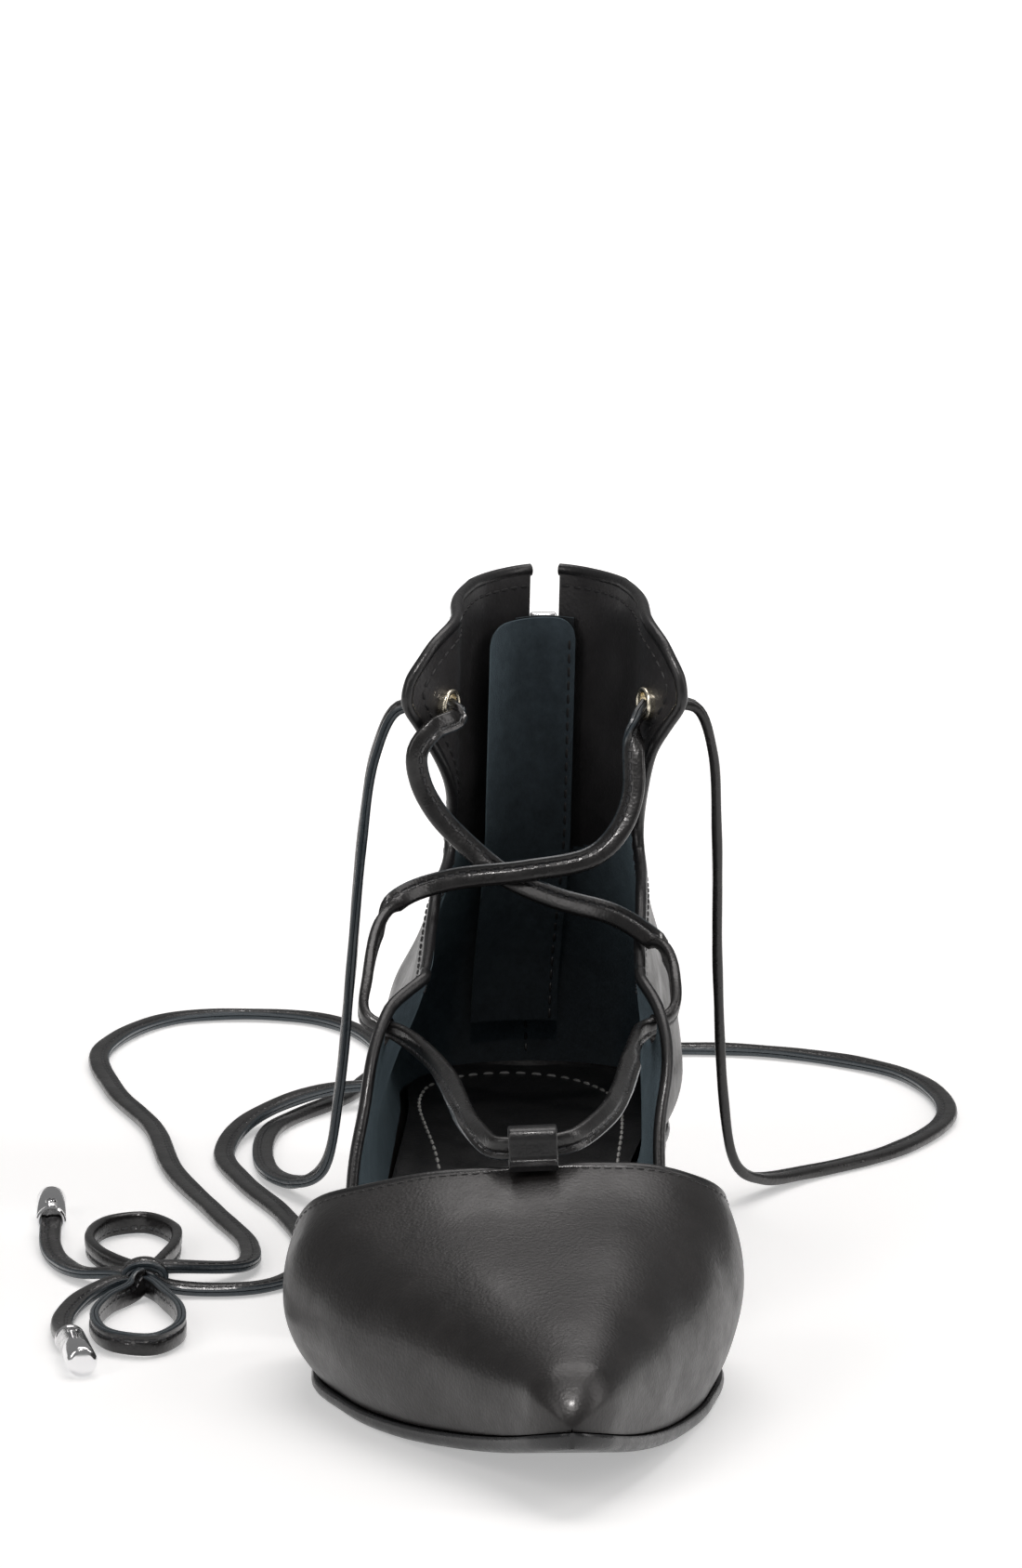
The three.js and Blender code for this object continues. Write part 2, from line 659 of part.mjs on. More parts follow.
function zipSlider() {
  const [x, y, z] = sliderSeat;
  const plateY = y + SLIDER_THICKNESS / 2;
  const parts = [boxAt([SLIDER_WIDTH, SLIDER_THICKNESS, SLIDER_LENGTH], [x, plateY, z])];
  const lugOut = PULL_EYE_WIDTH / 2 + PIN_CLEARANCE + LUG_THICKNESS / 2;
  for (const side of [-1, 1]) {
    const lug = roundAcross(LUG_RADIUS, LUG_THICKNESS, 16).translate(side * lugOut, 0, 0);
    const neck = [LUG_THICKNESS, LUG_RADIUS + SLIDER_THICKNESS / 2, 2 * LUG_RADIUS];
    parts.push(lug, boxAt(neck, [x + side * lugOut, plateY + neck[1] / 2, z]));
  }
  parts.push(roundAcross(PIN_RADIUS, 2 * lugOut, 12));
  return join(parts);
}

function zipPull() {
  const [x] = sliderSeat;
  const eye = PIN_RADIUS + PIN_CLEARANCE;
  const tabTop = LUG_RADIUS + PULL_NECK;
  const tab = boxAt(
    [PULL_WIDTH, PULL_THICKNESS, PULL_LENGTH - tabTop],
    [x, PIN_PLACE.y, PIN_PLACE.z - (PULL_LENGTH + tabTop) / 2],
  );
  const neckFoot = tabTop + PULL_NECK;
  const neck = boxAt(
    [PULL_EYE_WIDTH, PULL_THICKNESS, neckFoot],
    [x, PIN_PLACE.y, PIN_PLACE.z - neckFoot / 2],
  );
  const ring = roundAcross(eye + PULL_EYE_WALL, PULL_EYE_WIDTH, 16);
  return cut(join([tab, neck, ring]), [roundAcross(eye, 2 * PULL_EYE_WIDTH, 16)]);
}

// The leather loop on the throat: a folded strip that stands on the vamp's open edge.
function laceLoop() {
  const across = loopAcross();
  const edge = vampPoint(across, toplineStation(across), 0);
  const front = edge[1] - LOOP_HOLE / 2 - LOOP_THICKNESS;
  const back = front + LOOP_HOLE + 2 * LOOP_THICKNESS;
  const foot = edge[2] + 2 * GAP;
  const top = foot + LOOP_HEIGHT;
  const outline = new THREE.Shape();
  outline.moveTo(front - LOOP_FOOT, foot - LOOP_FOOT_DROP);
  outline.lineTo(front + LOOP_THICKNESS, foot);
  outline.lineTo(front + LOOP_THICKNESS, top - LOOP_THICKNESS);
  outline.lineTo(back - LOOP_THICKNESS, top - LOOP_THICKNESS);
  outline.lineTo(back - LOOP_THICKNESS, foot - LOOP_FOOT);
  outline.lineTo(back, foot - LOOP_FOOT);
  outline.lineTo(back, top - LOOP_BEND);
  outline.quadraticCurveTo(back, top, back - LOOP_BEND, top);
  outline.lineTo(front + LOOP_BEND, top);
  outline.quadraticCurveTo(front, top, front, top - LOOP_BEND);
  outline.lineTo(front, foot + LOOP_THICKNESS);
  outline.lineTo(front - LOOP_FOOT, foot + LOOP_THICKNESS - LOOP_FOOT_DROP);
  outline.closePath();
  const band = new THREE.ExtrudeGeometry(outline, {
    depth: LOOP_WIDTH,
    bevelEnabled: false,
    curveSegments: 3,
  });
  band.applyMatrix4(new THREE.Matrix4().makeBasis(
    new THREE.Vector3(0, 1, 0),
    new THREE.Vector3(0, 0, 1),
    new THREE.Vector3(1, 0, 0),
  ));
  const aside = vampPoint(across + 0.05, toplineStation(across + 0.05), 0);
  const slope = Math.atan2(aside[2] - edge[2], aside[0] - edge[0]);
  return band
    .translate(-LOOP_WIDTH / 2, -edge[1], -edge[2])
    .rotateY(-slope)
    .translate(...edge);
}

// The line of the vamp that ends at the loop's place on the throat.
function loopAcross() {
  let low = -0.9;
  let high = 0;
  for (let i = 0; i < 40; i += 1) {
    const middle = (low + high) / 2;
    if (vampPoint(middle, toplineStation(middle), 0)[0] < LOOP_PLACE) low = middle;
    else high = middle;
  }
  return low;
}

// Directions that the flat side of a lace can face.
const TOE = [0, -1, 0.25];
const LEVEL_TOE = [0, -1, 0];
const UP = [0, 0, 1];
const OUT_LATERAL = [-1, 0, 0];
const OUT_MEDIAL = [1, 0, 0];

// A flat strip along a smooth curve through rows of a point and the way its flat side faces.
function strip(rows, step, width = LACE_WIDTH, thickness = LACE_THICKNESS) {
  const places = rows.map(([x, y, z]) => new THREE.Vector3(x, y, z));
  const curve = new THREE.CatmullRomCurve3(places, false, 'centripetal');
  const facing = new THREE.CatmullRomCurve3(rows.map((row) => new THREE.Vector3(...row[3])));
  curve.arcLengthDivisions = 400;
  const steps = Math.round(curve.getLength() / step);
  const [w, t] = [width / 2, thickness / 2];
  const section = [[w, 0], [0.82 * w, t], [-0.82 * w, t]];
  section.push(...section.map(([a, b]) => [-a, -b]));
  const points = [];
  const faces = [];
  const sides = section.length;
  for (let i = 0; i <= steps; i += 1) {
    const u = curve.getUtoTmapping(i / steps);
    const centre = curve.getPoint(u);
    const ahead = curve.getTangent(u);
    const face = facing.getPoint(u);
    const wide = new THREE.Vector3().crossVectors(face, ahead).normalize();
    const normal = new THREE.Vector3().crossVectors(ahead, wide).normalize();
    for (const [a, b] of section) {
      const point = centre.clone().addScaledVector(wide, a).addScaledVector(normal, b);
      points.push(point.toArray());
    }
    if (i > 0) {
      for (let k = 0; k < sides; k += 1) {
        const a = (i - 1) * sides + k;
        const b = (i - 1) * sides + (k + 1) % sides;
        faces.push([a, b, b + sides], [a, b + sides, a + sides]);
      }
    }
  }
  const last = steps * sides;
  for (let k = 1; k < sides - 1; k += 1) {
    faces.push([0, k + 1, k], [last, last + k, last + k + 1]);
  }
  return solidFrom(points, faces);
}

// Rows of a lace route: x, y as a share of LENGTH, z, and the way the lace's flat side faces.
const route = (rows) => rows.map(([x, at, z, face]) => [x, LENGTH * at, z, face]);

// The lace inside the shoe, from one lower ear through the throat loop to the other.
const THROAT_ROUTE = route([
  [-25.9, 0.5878, 51.8, OUT_LATERAL],
  [-20.5, 0.5382, 50.5, OUT_LATERAL],
  [-17.2, 0.4733, 49.6, TOE],
  [-15.6, 0.4122, 48.8, TOE],
  [-13.8, 0.3626, 48.0, TOE],
  [-9.8, 0.3206, 46.7, LEVEL_TOE],
  [-7.0, 0.3160, 46.8, LEVEL_TOE],
  [-2.8, 0.3156, 47.0, LEVEL_TOE],
  [1.4, 0.3164, 47.4, LEVEL_TOE],
  [4.8, 0.3229, 47.9, LEVEL_TOE],
  [10.8, 0.3626, 49.6, TOE],
  [14.4, 0.4198, 50.8, TOE],
  [16.8, 0.4885, 51.6, TOE],
  [18.6, 0.5496, 52.2, OUT_MEDIAL],
  [20.5, 0.5840, 52.2, OUT_MEDIAL],
]);

// The strands outside the lower ears, which cross in front of the ankle and go up to the upper ears.
const CROSSING_OVER = route([
  [-31.9, 0.5992, 54.0, OUT_LATERAL],
  [-31.4, 0.6298, 60.0, OUT_LATERAL],
  [-29.0, 0.6794, 66.5, OUT_LATERAL],
  [-24.4, 0.7176, 70.4, TOE],
  [-15.2, 0.7405, 72.3, TOE],
  [-0.4, 0.7481, 73.6, TOE],
  [12.8, 0.7557, 76.0, TOE],
  [18.2, 0.7672, 81.0, TOE],
  [20.6, 0.7786, 87.0, TOE],
  [20.8, 0.7901, 94.5, TOE],
  [21.2, 0.8034, 99.5, OUT_MEDIAL],
]);
const CROSSING_UNDER = route([
  [26.1, 0.5992, 54.5, OUT_MEDIAL],
  [26.8, 0.6260, 59.6, OUT_MEDIAL],
  [25.8, 0.6565, 62.4, OUT_MEDIAL],
  [22.9, 0.6832, 64.2, TOE],
  [16.1, 0.7176, 66.7, TOE],
  [5.6, 0.7405, 68.6, TOE],
  [-4.0, 0.7595, 71.9, TOE],
  [-11.9, 0.7695, 78.0, TOE],
  [-17.2, 0.7748, 83.6, TOE],
  [-20.4, 0.7771, 89.8, TOE],
  [-20.9, 0.7771, 95.5, TOE],
  [-17.8, 0.7824, 99.6, TOE],
  [-13.2, 0.7992, 101.0, TOE],
]);

// The loose ties: out of the upper eyelets, down outside the back piece, then along the floor to the knot.
const FLOOR = LACE_THICKNESS / 2 + 0.3;
const TIE_LATERAL = route([
  [-20.0, 0.8176, 102.6, UP],
  [-24.6, 0.8198, 101.6, [-0.6, 0, 0.8]],
  [-28.6, 0.8244, 93, OUT_LATERAL],
  [-31.2, 0.8321, 76, OUT_LATERAL],
  [-33.4, 0.8397, 50, OUT_LATERAL],
  [-35.8, 0.8473, 24, OUT_LATERAL],
  [-38.4, 0.8588, 9, [-1, 0, 0.5]],
  [-42.6, 0.8817, 4.0, [-0.2, 0, 1]],
  [-49.0, 0.9466, FLOOR + 0.3, UP],
  [-48.0, 1.0878, FLOOR, UP],
  [-32.0, 1.2023, FLOOR, UP],
  [-24.0, 1.3359, FLOOR, UP],
  [-38.0, 1.4580, FLOOR, UP],
  [-66.0, 1.4656, FLOOR, UP],
  [-82.0, 1.3588, FLOOR, UP],
  [-80.0, 1.2214, FLOOR, UP],
  [-72.0, 1.0916, FLOOR, UP],
  [-68.0, 0.9542, FLOOR, UP],
  [-60.0, 0.8244, FLOOR, UP],
  [-54.0, 0.7252, FLOOR, UP],
  [-56.0, 0.6527, FLOOR + 1, UP],
  [-69.1, 0.6221, 4.4, UP],
]);
const TIE_MEDIAL = route([
  [28.6, 0.8176, 102.6, UP],
  [33.2, 0.8198, 101.6, [0.6, 0, 0.8]],
  [36.4, 0.8244, 93, OUT_MEDIAL],
  [37.4, 0.8321, 76, OUT_MEDIAL],
  [37.8, 0.8397, 50, OUT_MEDIAL],
  [39.0, 0.8473, 24, OUT_MEDIAL],
  [41.4, 0.8588, 9, [1, 0, 0.5]],
  [45.8, 0.8817, 4.0, [0.2, 0, 1]],
  [56.0, 0.9313, FLOOR + 0.3, UP],
  [76.0, 1.0076, FLOOR, UP],
  [88.0, 1.1221, FLOOR, UP],
  [80.0, 1.2595, FLOOR, UP],
  [52.0, 1.3359, FLOOR, UP],
  [22.0, 1.3359, FLOOR, UP],
  [-1.0, 1.2748, FLOOR + 0.3, UP],
  [-18.0, 1.2099, 3.0, UP],
  [-38.0, 1.1565, 4.8, UP],
  [-52.0, 1.0992, 3.0, UP],
  [-58.0, 1.0115, FLOOR, UP],
  [-54.0, 0.9160, FLOOR, UP],
  [-47.0, 0.8206, FLOOR, UP],
  [-43.0, 0.7252, FLOOR, UP],
  [-45.0, 0.6412, FLOOR, UP],
  [-54.0, 0.6031, FLOOR, UP],
  [-69.1, 0.6008, 2.0, UP],
]);

// The bow on the floor beside the shoe, as offsets from its knot: two loops on edge and two ends.
const KNOT_HEIGHT = KNOT_SIZE[2] / 2 + 0.1;
const ON_EDGE = LACE_WIDTH / 2 + 0.1;
const BOW_LOOP_FRONT = [
  [-2, -7.4], [-7, -18], [-9.5, -32], [-6, -45], [1, -48], [6, -40], [6.5, -26], [3.8, -14], [1.8, -7.4],
];
const BOW_LOOP_BACK = [
  [-2, 7.4], [-8, 17], [-10.5, 30], [-7, 42], [0, 45], [5.5, 37], [6, 25], [3.6, 14], [1.6, 7.4],
];
const BOW_END_FRONT = [[-4.9, -3, 3.2], [-11, -9, 2], [-15, -21, FLOOR], [-15.5, -34, 1.6], [-14, -45, 3]];
const BOW_END_BACK = [[-4.9, 3, 3.2], [-11.5, 8, 2], [-16, 19, FLOOR], [-18, 31, 1.6], [-18, 44, 3]];

function bowLoop(offsets) {
  const mean = (axis) => offsets.reduce((sum, row) => sum + row[axis], 0) / offsets.length;
  const middle = [mean(0), mean(1)];
  return strip(offsets.map(([x, y]) => [
    KNOT_PLACE[0] + x,
    KNOT_PLACE[1] + y,
    ON_EDGE,
    [x - middle[0], y - middle[1], 0],
  ]), 6);
}

function bowEnd(offsets) {
  return strip(offsets.map(([x, y, z]) => [KNOT_PLACE[0] + x, KNOT_PLACE[1] + y, z, UP]), 7);
}

function bowKnot() {
  const ball = new THREE.SphereGeometry(0.5, 12, 8).rotateX(Math.PI / 2);
  return ball.scale(...KNOT_SIZE).translate(...KNOT_PLACE, KNOT_HEIGHT);
}

// A round metal tip that carries on from the end of a tie.
function aglet(offsets) {
  const [before, end] = offsets.slice(-2).map(([x, y]) => new THREE.Vector3(x, y, 0));
  const ahead = end.clone().sub(before).normalize();
  const profile = [
    [0, 0], [AGLET_RADIUS - AGLET_EDGE, 0], [AGLET_RADIUS, AGLET_EDGE],
    [AGLET_RADIUS, AGLET_LENGTH - AGLET_EDGE], [AGLET_RADIUS - AGLET_EDGE, AGLET_LENGTH], [0, AGLET_LENGTH],
  ].map(([radius, height]) => new THREE.Vector2(radius, height));
  const turn = new THREE.Quaternion().setFromUnitVectors(new THREE.Vector3(0, 1, 0), ahead);
  const mouth = end.addScaledVector(ahead, GAP).add(new THREE.Vector3(...KNOT_PLACE, AGLET_RADIUS + 0.1));
  return new THREE.LatheGeometry(profile, 16).applyQuaternion(turn).translate(...mouth.toArray());
}

const shoe = new THREE.Group();
shoe.name = 'lace_up_flat';
const BALL = PLAN[5];
const lateralReach = SOLE_WIDTH * BALL.lateral + OVERHANG * BALL.overLateral;
const medialReach = SOLE_WIDTH * BALL.medial + OVERHANG * BALL.overMedial;
shoe.position.set((lateralReach - medialReach) / 2, -LENGTH / 2, 0);

const leather = { color: 0x1d1c1e, roughness: 0.45, metalness: 0 };
const soleRubber = { color: 0x171718, roughness: 0.5, metalness: 0 };
const sock = { color: 0x1b1b1d, roughness: 0.5, metalness: 0 };
const suede = { color: 0x2b3a42, roughness: 0.95, metalness: 0 };
const paleMetal = { color: 0xcfc8b8, roughness: 0.25, metalness: 1 };
const darkTape = { color: 0x18191b, roughness: 0.8, metalness: 0 };

function add(name, geometry, finish) {
  const mesh = new THREE.Mesh(geometry, new THREE.MeshStandardMaterial(finish));
  mesh.name = name;
  shoe.add(mesh);
}

add('outsole', outsole(), soleRubber);
add('heel_block', heelBlock(), soleRubber);
add('heel_lift', heelLift(), soleRubber);
add('insole', insole(), sock);
add('vamp', vamp(), leather);
add('quarter', quarter(), leather);
add('lace_loop', laceLoop(), leather);
add('eyelet_lateral', eyelet(-1), paleMetal);
add('eyelet_medial', eyelet(1), paleMetal);
add('zip', zip(), darkTape);
add('zip_guard', zipGuard(), suede);
add('zip_slider', zipSlider(), paleMetal);
add('zip_pull', zipPull(), paleMetal);
add('lace_throat', strip(THROAT_ROUTE, 5), leather);
add('lace_crossing', join([strip(CROSSING_OVER, 5), strip(CROSSING_UNDER, 5)]), leather);
add('tie_lateral', strip(TIE_LATERAL, 11), leather);
add('tie_medial', strip(TIE_MEDIAL, 11), leather);
add('bow_knot', bowKnot(), leather);
add('bow_loop_front', bowLoop(BOW_LOOP_FRONT), leather);
add('bow_loop_back', bowLoop(BOW_LOOP_BACK), leather);
add('bow_end_front', bowEnd(BOW_END_FRONT), leather);
add('bow_end_back', bowEnd(BOW_END_BACK), leather);
add('aglet_front', aglet(BOW_END_FRONT), paleMetal);
add('aglet_back', aglet(BOW_END_BACK), paleMetal);

export default shoe;
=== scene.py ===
"""Looks for a right-foot lace-up flat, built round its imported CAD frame.

Shapes are worked out in the part's own frame, in millimetres: x from the heel-to-toe axis, positive towards
the inner side of the foot, y back from the toe tip, z up. world() turns them into the row frame, in metres.
"""

import math

import bmesh
import bpy
import numpy as np
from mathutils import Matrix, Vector
from mathutils.bvhtree import BVHTree

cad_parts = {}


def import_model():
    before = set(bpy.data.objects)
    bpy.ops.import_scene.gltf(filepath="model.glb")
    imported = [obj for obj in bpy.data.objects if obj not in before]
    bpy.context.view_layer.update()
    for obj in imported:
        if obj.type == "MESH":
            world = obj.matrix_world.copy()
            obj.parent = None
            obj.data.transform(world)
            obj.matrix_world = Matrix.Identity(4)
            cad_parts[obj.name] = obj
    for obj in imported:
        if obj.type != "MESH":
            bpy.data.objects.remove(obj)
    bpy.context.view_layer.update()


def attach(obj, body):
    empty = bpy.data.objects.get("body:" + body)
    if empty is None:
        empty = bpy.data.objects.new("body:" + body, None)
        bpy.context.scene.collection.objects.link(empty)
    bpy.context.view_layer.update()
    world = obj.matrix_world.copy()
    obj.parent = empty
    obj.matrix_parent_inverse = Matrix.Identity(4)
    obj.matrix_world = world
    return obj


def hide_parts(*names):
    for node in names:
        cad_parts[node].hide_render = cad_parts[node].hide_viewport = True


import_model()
BODY = "shoe"

# Sizes of the part, as in its source
LENGTH = 262
SOLE_WIDTH = 76
SOLE_THICKNESS = 3
SOLE_SET_BACK = 1
TOE_RADIUS = 8
HEEL_RADIUS = 27
ANKLE_RADIUS = 32
TOE_SPRING = 12.3
SPRING_LENGTH = 70
ARCH_START = 115
HEEL_BREAST = 208
HEEL_HEIGHT = 14
HEEL_TAPER = 1.5
HEEL_INSET = 0.6
LIFT_THICKNESS = 4
INSOLE_THICKNESS = 3.5
WALL = 1.8
FEATHER_INSET = 1.2
OVERHANG = 5.2
NOSE_SET_BACK = 1.3
NOSE_ROUNDING = 10
VAMP_HEIGHT = 40.7
LEAST_CROWN = 0.4
LEAST_CAP_SHARE = 0.0005
LATERAL_SHOULDER = 2.5
MEDIAL_SHOULDER = 2
FLANK_SHARE = 0.3
BACK_HEIGHT = 120.7
BULGE_HEIGHT = 28
ANKLE_HEIGHT = 75
ANKLE_WIDTH = 38.2
EAR_FLARE = 7
FLARE_START = 0.847
FLARE_LENGTH = 17
FLARE_HEIGHT = 105
BACK_LEAN = 1.3
SLOT_WIDTH = 6
SLOT_FOOT = 33
TAPE_WIDTH = 11.4
TAPE_THICKNESS = 0.8
TAPE_FOOT = 31
TAPE_TOP = 112
CHAIN_TOP = 104
GUARD_THICKNESS = 1.2
GUARD_FREE_SIDE = 11
GUARD_SEWN_SIDE = 6
GUARD_FOOT = 30
SLIDER_WIDTH = 5.4
SLIDER_LENGTH = 8
SLIDER_THICKNESS = 1.6
SLIDER_HEIGHT = 108
LUG_RADIUS = 1.7
LUG_THICKNESS = 0.9
PIN_RADIUS = 0.7
PIN_CLEARANCE = 0.3
PULL_LENGTH = 18
PULL_WIDTH = 4.6
PULL_THICKNESS = 1.2
PULL_EYE_WIDTH = 2.6
LACE_WIDTH = 4.8
LACE_THICKNESS = 2
EAR_HOLE = (0.5916 * LENGTH, 52)
EAR_HOLE_RADIUS = 2.7
HOLE_CUT_LENGTH = 8
EYELET_PLACE = (0.8168 * LENGTH, 102.5)
EYELET_HOLE_RADIUS = 2.25
EYELET_RADIUS = 3.3
EYELET_FLANGE = 0.6
EYELET_CLEARANCE = 0.7
LOOP_WIDTH = 9
LOOP_HEIGHT = 6.8
LOOP_THICKNESS = 1.1
LOOP_HOLE = 3.4
LOOP_FOOT = 2.4
LOOP_FOOT_DROP = 0.6
LOOP_BEND = 1.2
LOOP_PLACE = -2.8
KNOT_SIZE = (9, 14, 6.4)
KNOT_PLACE = (-74, 0.6107 * LENGTH)
AGLET_RADIUS = 2.9
AGLET_LENGTH = 17.5
GAP = 0.3
LINING_CLEARANCE = 0.7

# Plan of the sole and upper: share of the length, half-widths as shares of the sole's width, overhangs
PLAN = [
    (0.000, 0.048, 0.080, -0.23, -0.23),
    (0.061, 0.138, 0.168, -0.10, -0.10),
    (0.115, 0.234, 0.237, 0.15, 0.08),
    (0.191, 0.388, 0.322, 0.48, 0.29),
    (0.260, 0.499, 0.388, 0.77, 0.54),
    (0.336, 0.572, 0.428, 1.00, 0.71),
    (0.420, 0.552, 0.390, 0.87, 0.60),
    (0.496, 0.455, 0.290, 0.35, 0.35),
    (0.573, 0.425, 0.262, 0.10, 0.40),
    (0.668, 0.385, 0.272, 0.29, 0.45),
    (0.763, 0.345, 0.330, 0.48, 0.48),
    (0.859, 0.324, 0.379, 0.58, 0.48),
    (1.000, 0.324, 0.379, 0.58, 0.48),
]
# Vamp sections: share of the length, ridge's place, rise, and heights of the outer and inner bulge
VAMP = [
    (0.000, 0.018, 0.170, 0.098, 0.098),
    (0.057, 0.046, 0.371, 0.172, 0.184),
    (0.115, 0.079, 0.558, 0.221, 0.258),
    (0.191, 0.118, 0.754, 0.270, 0.332),
    (0.267, 0.158, 0.897, 0.307, 0.393),
    (0.317, 0.184, 1.000, 0.337, 0.442),
    (0.382, 0.197, 1.098, 0.344, 0.467),
    (0.439, 0.197, 1.172, 0.344, 0.467),
]
# The vamp's open edge: height over the sole as a share of the vamp's, share of the length
TOPLINE = [
    (0.000, 0.443),
    (0.172, 0.433),
    (0.418, 0.416),
    (0.688, 0.382),
    (0.860, 0.340),
    (0.934, 0.3245),
    (1.012, 0.313),
    (1.180, 0.303),
]
# Profile behind the heel: share of the back's height, share of the length, power of the round
BACK = [
    (0.232, 1.0000, 0.50),
    (0.331, 0.9985, 0.50),
    (0.480, 0.9800, 0.55),
    (0.621, 0.9695, 0.60),
    (0.787, 0.9745, 0.60),
    (1.000, 0.9850, 0.60),
]
# Plan at the ankle: share of the length, half-widths as shares of the ankle's width
ANKLE = [
    (0.477, 0.800, 0.850),
    (0.534, 0.800, 0.850),
    (0.557, 0.780, 0.800),
    (0.592, 0.700, 0.680),
    (0.630, 0.470, 0.560),
    (0.687, 0.458, 0.563),
    (0.763, 0.469, 0.594),
    (0.847, 0.390, 0.610),
    (1.000, 0.390, 0.610),
]
# The back piece's free edge: place on it, height at the seam, share of the length, rise
EDGE = [
    (0, 0.000, 0.4657, 0.000),
    (1, 0.055, 0.4810, 0.088),
    (2, 0.138, 0.5115, 0.224),
    (3, 0.188, 0.5325, 0.292),
    (4, 0.237, 0.5573, 0.348),
    (5, 0.279, 0.5916, 0.387),
    (6, 0.312, 0.6221, 0.403),
    (7, 0.337, 0.6374, 0.401),
    (8, 0.362, 0.6565, 0.385),
    (9, 0.387, 0.7061, 0.389),
    (10, 0.420, 0.7634, 0.422),
    (11, 0.453, 0.8092, 0.435),
    (12, 0.486, 0.8397, 0.457),
    (13, 0.519, 0.8454, 0.495),
    (14, 0.569, 0.8244, 0.569),
    (15, 0.619, 0.8073, 0.627),
    (16, 0.669, 0.7920, 0.681),
    (17, 0.718, 0.7824, 0.727),
    (18, 0.751, 0.7844, 0.756),
    (19, 0.785, 0.7939, 0.789),
    (20, 0.809, 0.8060, 0.813),
    (21, 0.830, 0.8300, 0.832),
    (22, 0.847, 0.8760, 0.8455),
    (23, 0.8567, 0.9250, 0.8545),
]

BALL = PLAN[5]
LATERAL_REACH = SOLE_WIDTH * BALL[1] + OVERHANG * BALL[3]
MEDIAL_REACH = SOLE_WIDTH * BALL[2] + OVERHANG * BALL[4]
OFFSET = np.array([(LATERAL_REACH - MEDIAL_REACH) / 2, -LENGTH / 2, 0])
MM = 0.001
TOPLINE_FIRST_RISE = 0.9
SETTLE_STEPS = 40
SEAM_STEPS = 6
LEAST_HALF = 0.3


def world(points):
    return (np.asarray(points, float) + OFFSET) * MM


# Smooth curve through the rows of a table, without overshoot, of one column over another
def through(rows, across, column):
    xs = np.array([row[across] for row in rows], float)
    ys = np.array([row[column] for row in rows], float)
    slopes = np.diff(ys) / np.diff(xs)
    before, after = slopes[:-1], slopes[1:]
    inner = np.zeros(len(before))
    same = before * after > 0
    inner[same] = 2 / (1 / before[same] + 1 / after[same])
    tangents = np.concatenate([slopes[:1], inner, slopes[-1:]])

    def value(x):
        x = np.clip(x, xs[0], xs[-1])
        i = np.clip(np.searchsorted(xs, x, side="right") - 1, 0, len(xs) - 2)
        h = xs[i + 1] - xs[i]
        u = (x - xs[i]) / h
        start = (1 + 2 * u) * (1 - u) ** 2 * ys[i] + u * (1 - u) ** 2 * h * tangents[i]
        return start + u * u * (3 - 2 * u) * ys[i + 1] + u * u * (u - 1) * h * tangents[i + 1]

    return value


plan_lateral, plan_medial, over_lateral, over_medial = [through(PLAN, 0, k) for k in (1, 2, 3, 4)]
vamp_ridge, vamp_rise, lateral_bulge, medial_bulge = [through(VAMP, 0, k) for k in (1, 2, 3, 4)]
topline_at = through(TOPLINE, 0, 1)
back_at, back_power = [through(BACK, 0, k) for k in (1, 2)]
ankle_lateral, ankle_medial = [through(ANKLE, 0, k) for k in (1, 2)]
edge_seam, edge_at, edge_rise = [through(EDGE, 0, k) for k in (1, 2, 3)]


def mix(a, b, share):
    return a + (b - a) * share


def smooth_step(low, high, value):
    u = np.clip((value - low) / (high - low), 0, 1)
    return u * u * (3 - 2 * u)


def end_cap(distance, radius, power=0.5):
    u = np.clip(distance / radius, LEAST_CAP_SHARE, 1)
    return (1 - (1 - u) ** 2) ** power


def swell(share):
    return 1 - (1 - np.clip(share, 0, 1)) ** 2


def sole_bottom(y):
    spring = TOE_SPRING * np.maximum(0, 1 - y / SPRING_LENGTH) ** 2
    return spring + HEEL_HEIGHT * smooth_step(ARCH_START, HEEL_BREAST - 1, y)


def feather_height(y):
    return sole_bottom(y) + SOLE_THICKNESS + GAP


def centre_and_half(lateral, medial):
    return (medial - lateral) / 2, (medial + lateral) / 2


def sole_plan(y):
    at = y / LENGTH
    return centre_and_half(SOLE_WIDTH * plan_lateral(at), SOLE_WIDTH * plan_medial(at))


def bulge_plan(y):
    at = y / LENGTH
    lateral = SOLE_WIDTH * plan_lateral(at) + OVERHANG * over_lateral(at)
    medial = SOLE_WIDTH * plan_medial(at) + OVERHANG * over_medial(at)
    return centre_and_half(lateral, medial)


def ankle_plan(y):
    at = y / LENGTH
    return centre_and_half(ANKLE_WIDTH * ankle_lateral(at), ANKLE_WIDTH * ankle_medial(at))


def sole_half(y, inset):
    toe = end_cap(y - inset, TOE_RADIUS - inset)
    heel = end_cap(LENGTH - SOLE_SET_BACK - inset - y, HEEL_RADIUS - inset)
    return (sole_plan(y)[1] - inset) * toe * heel


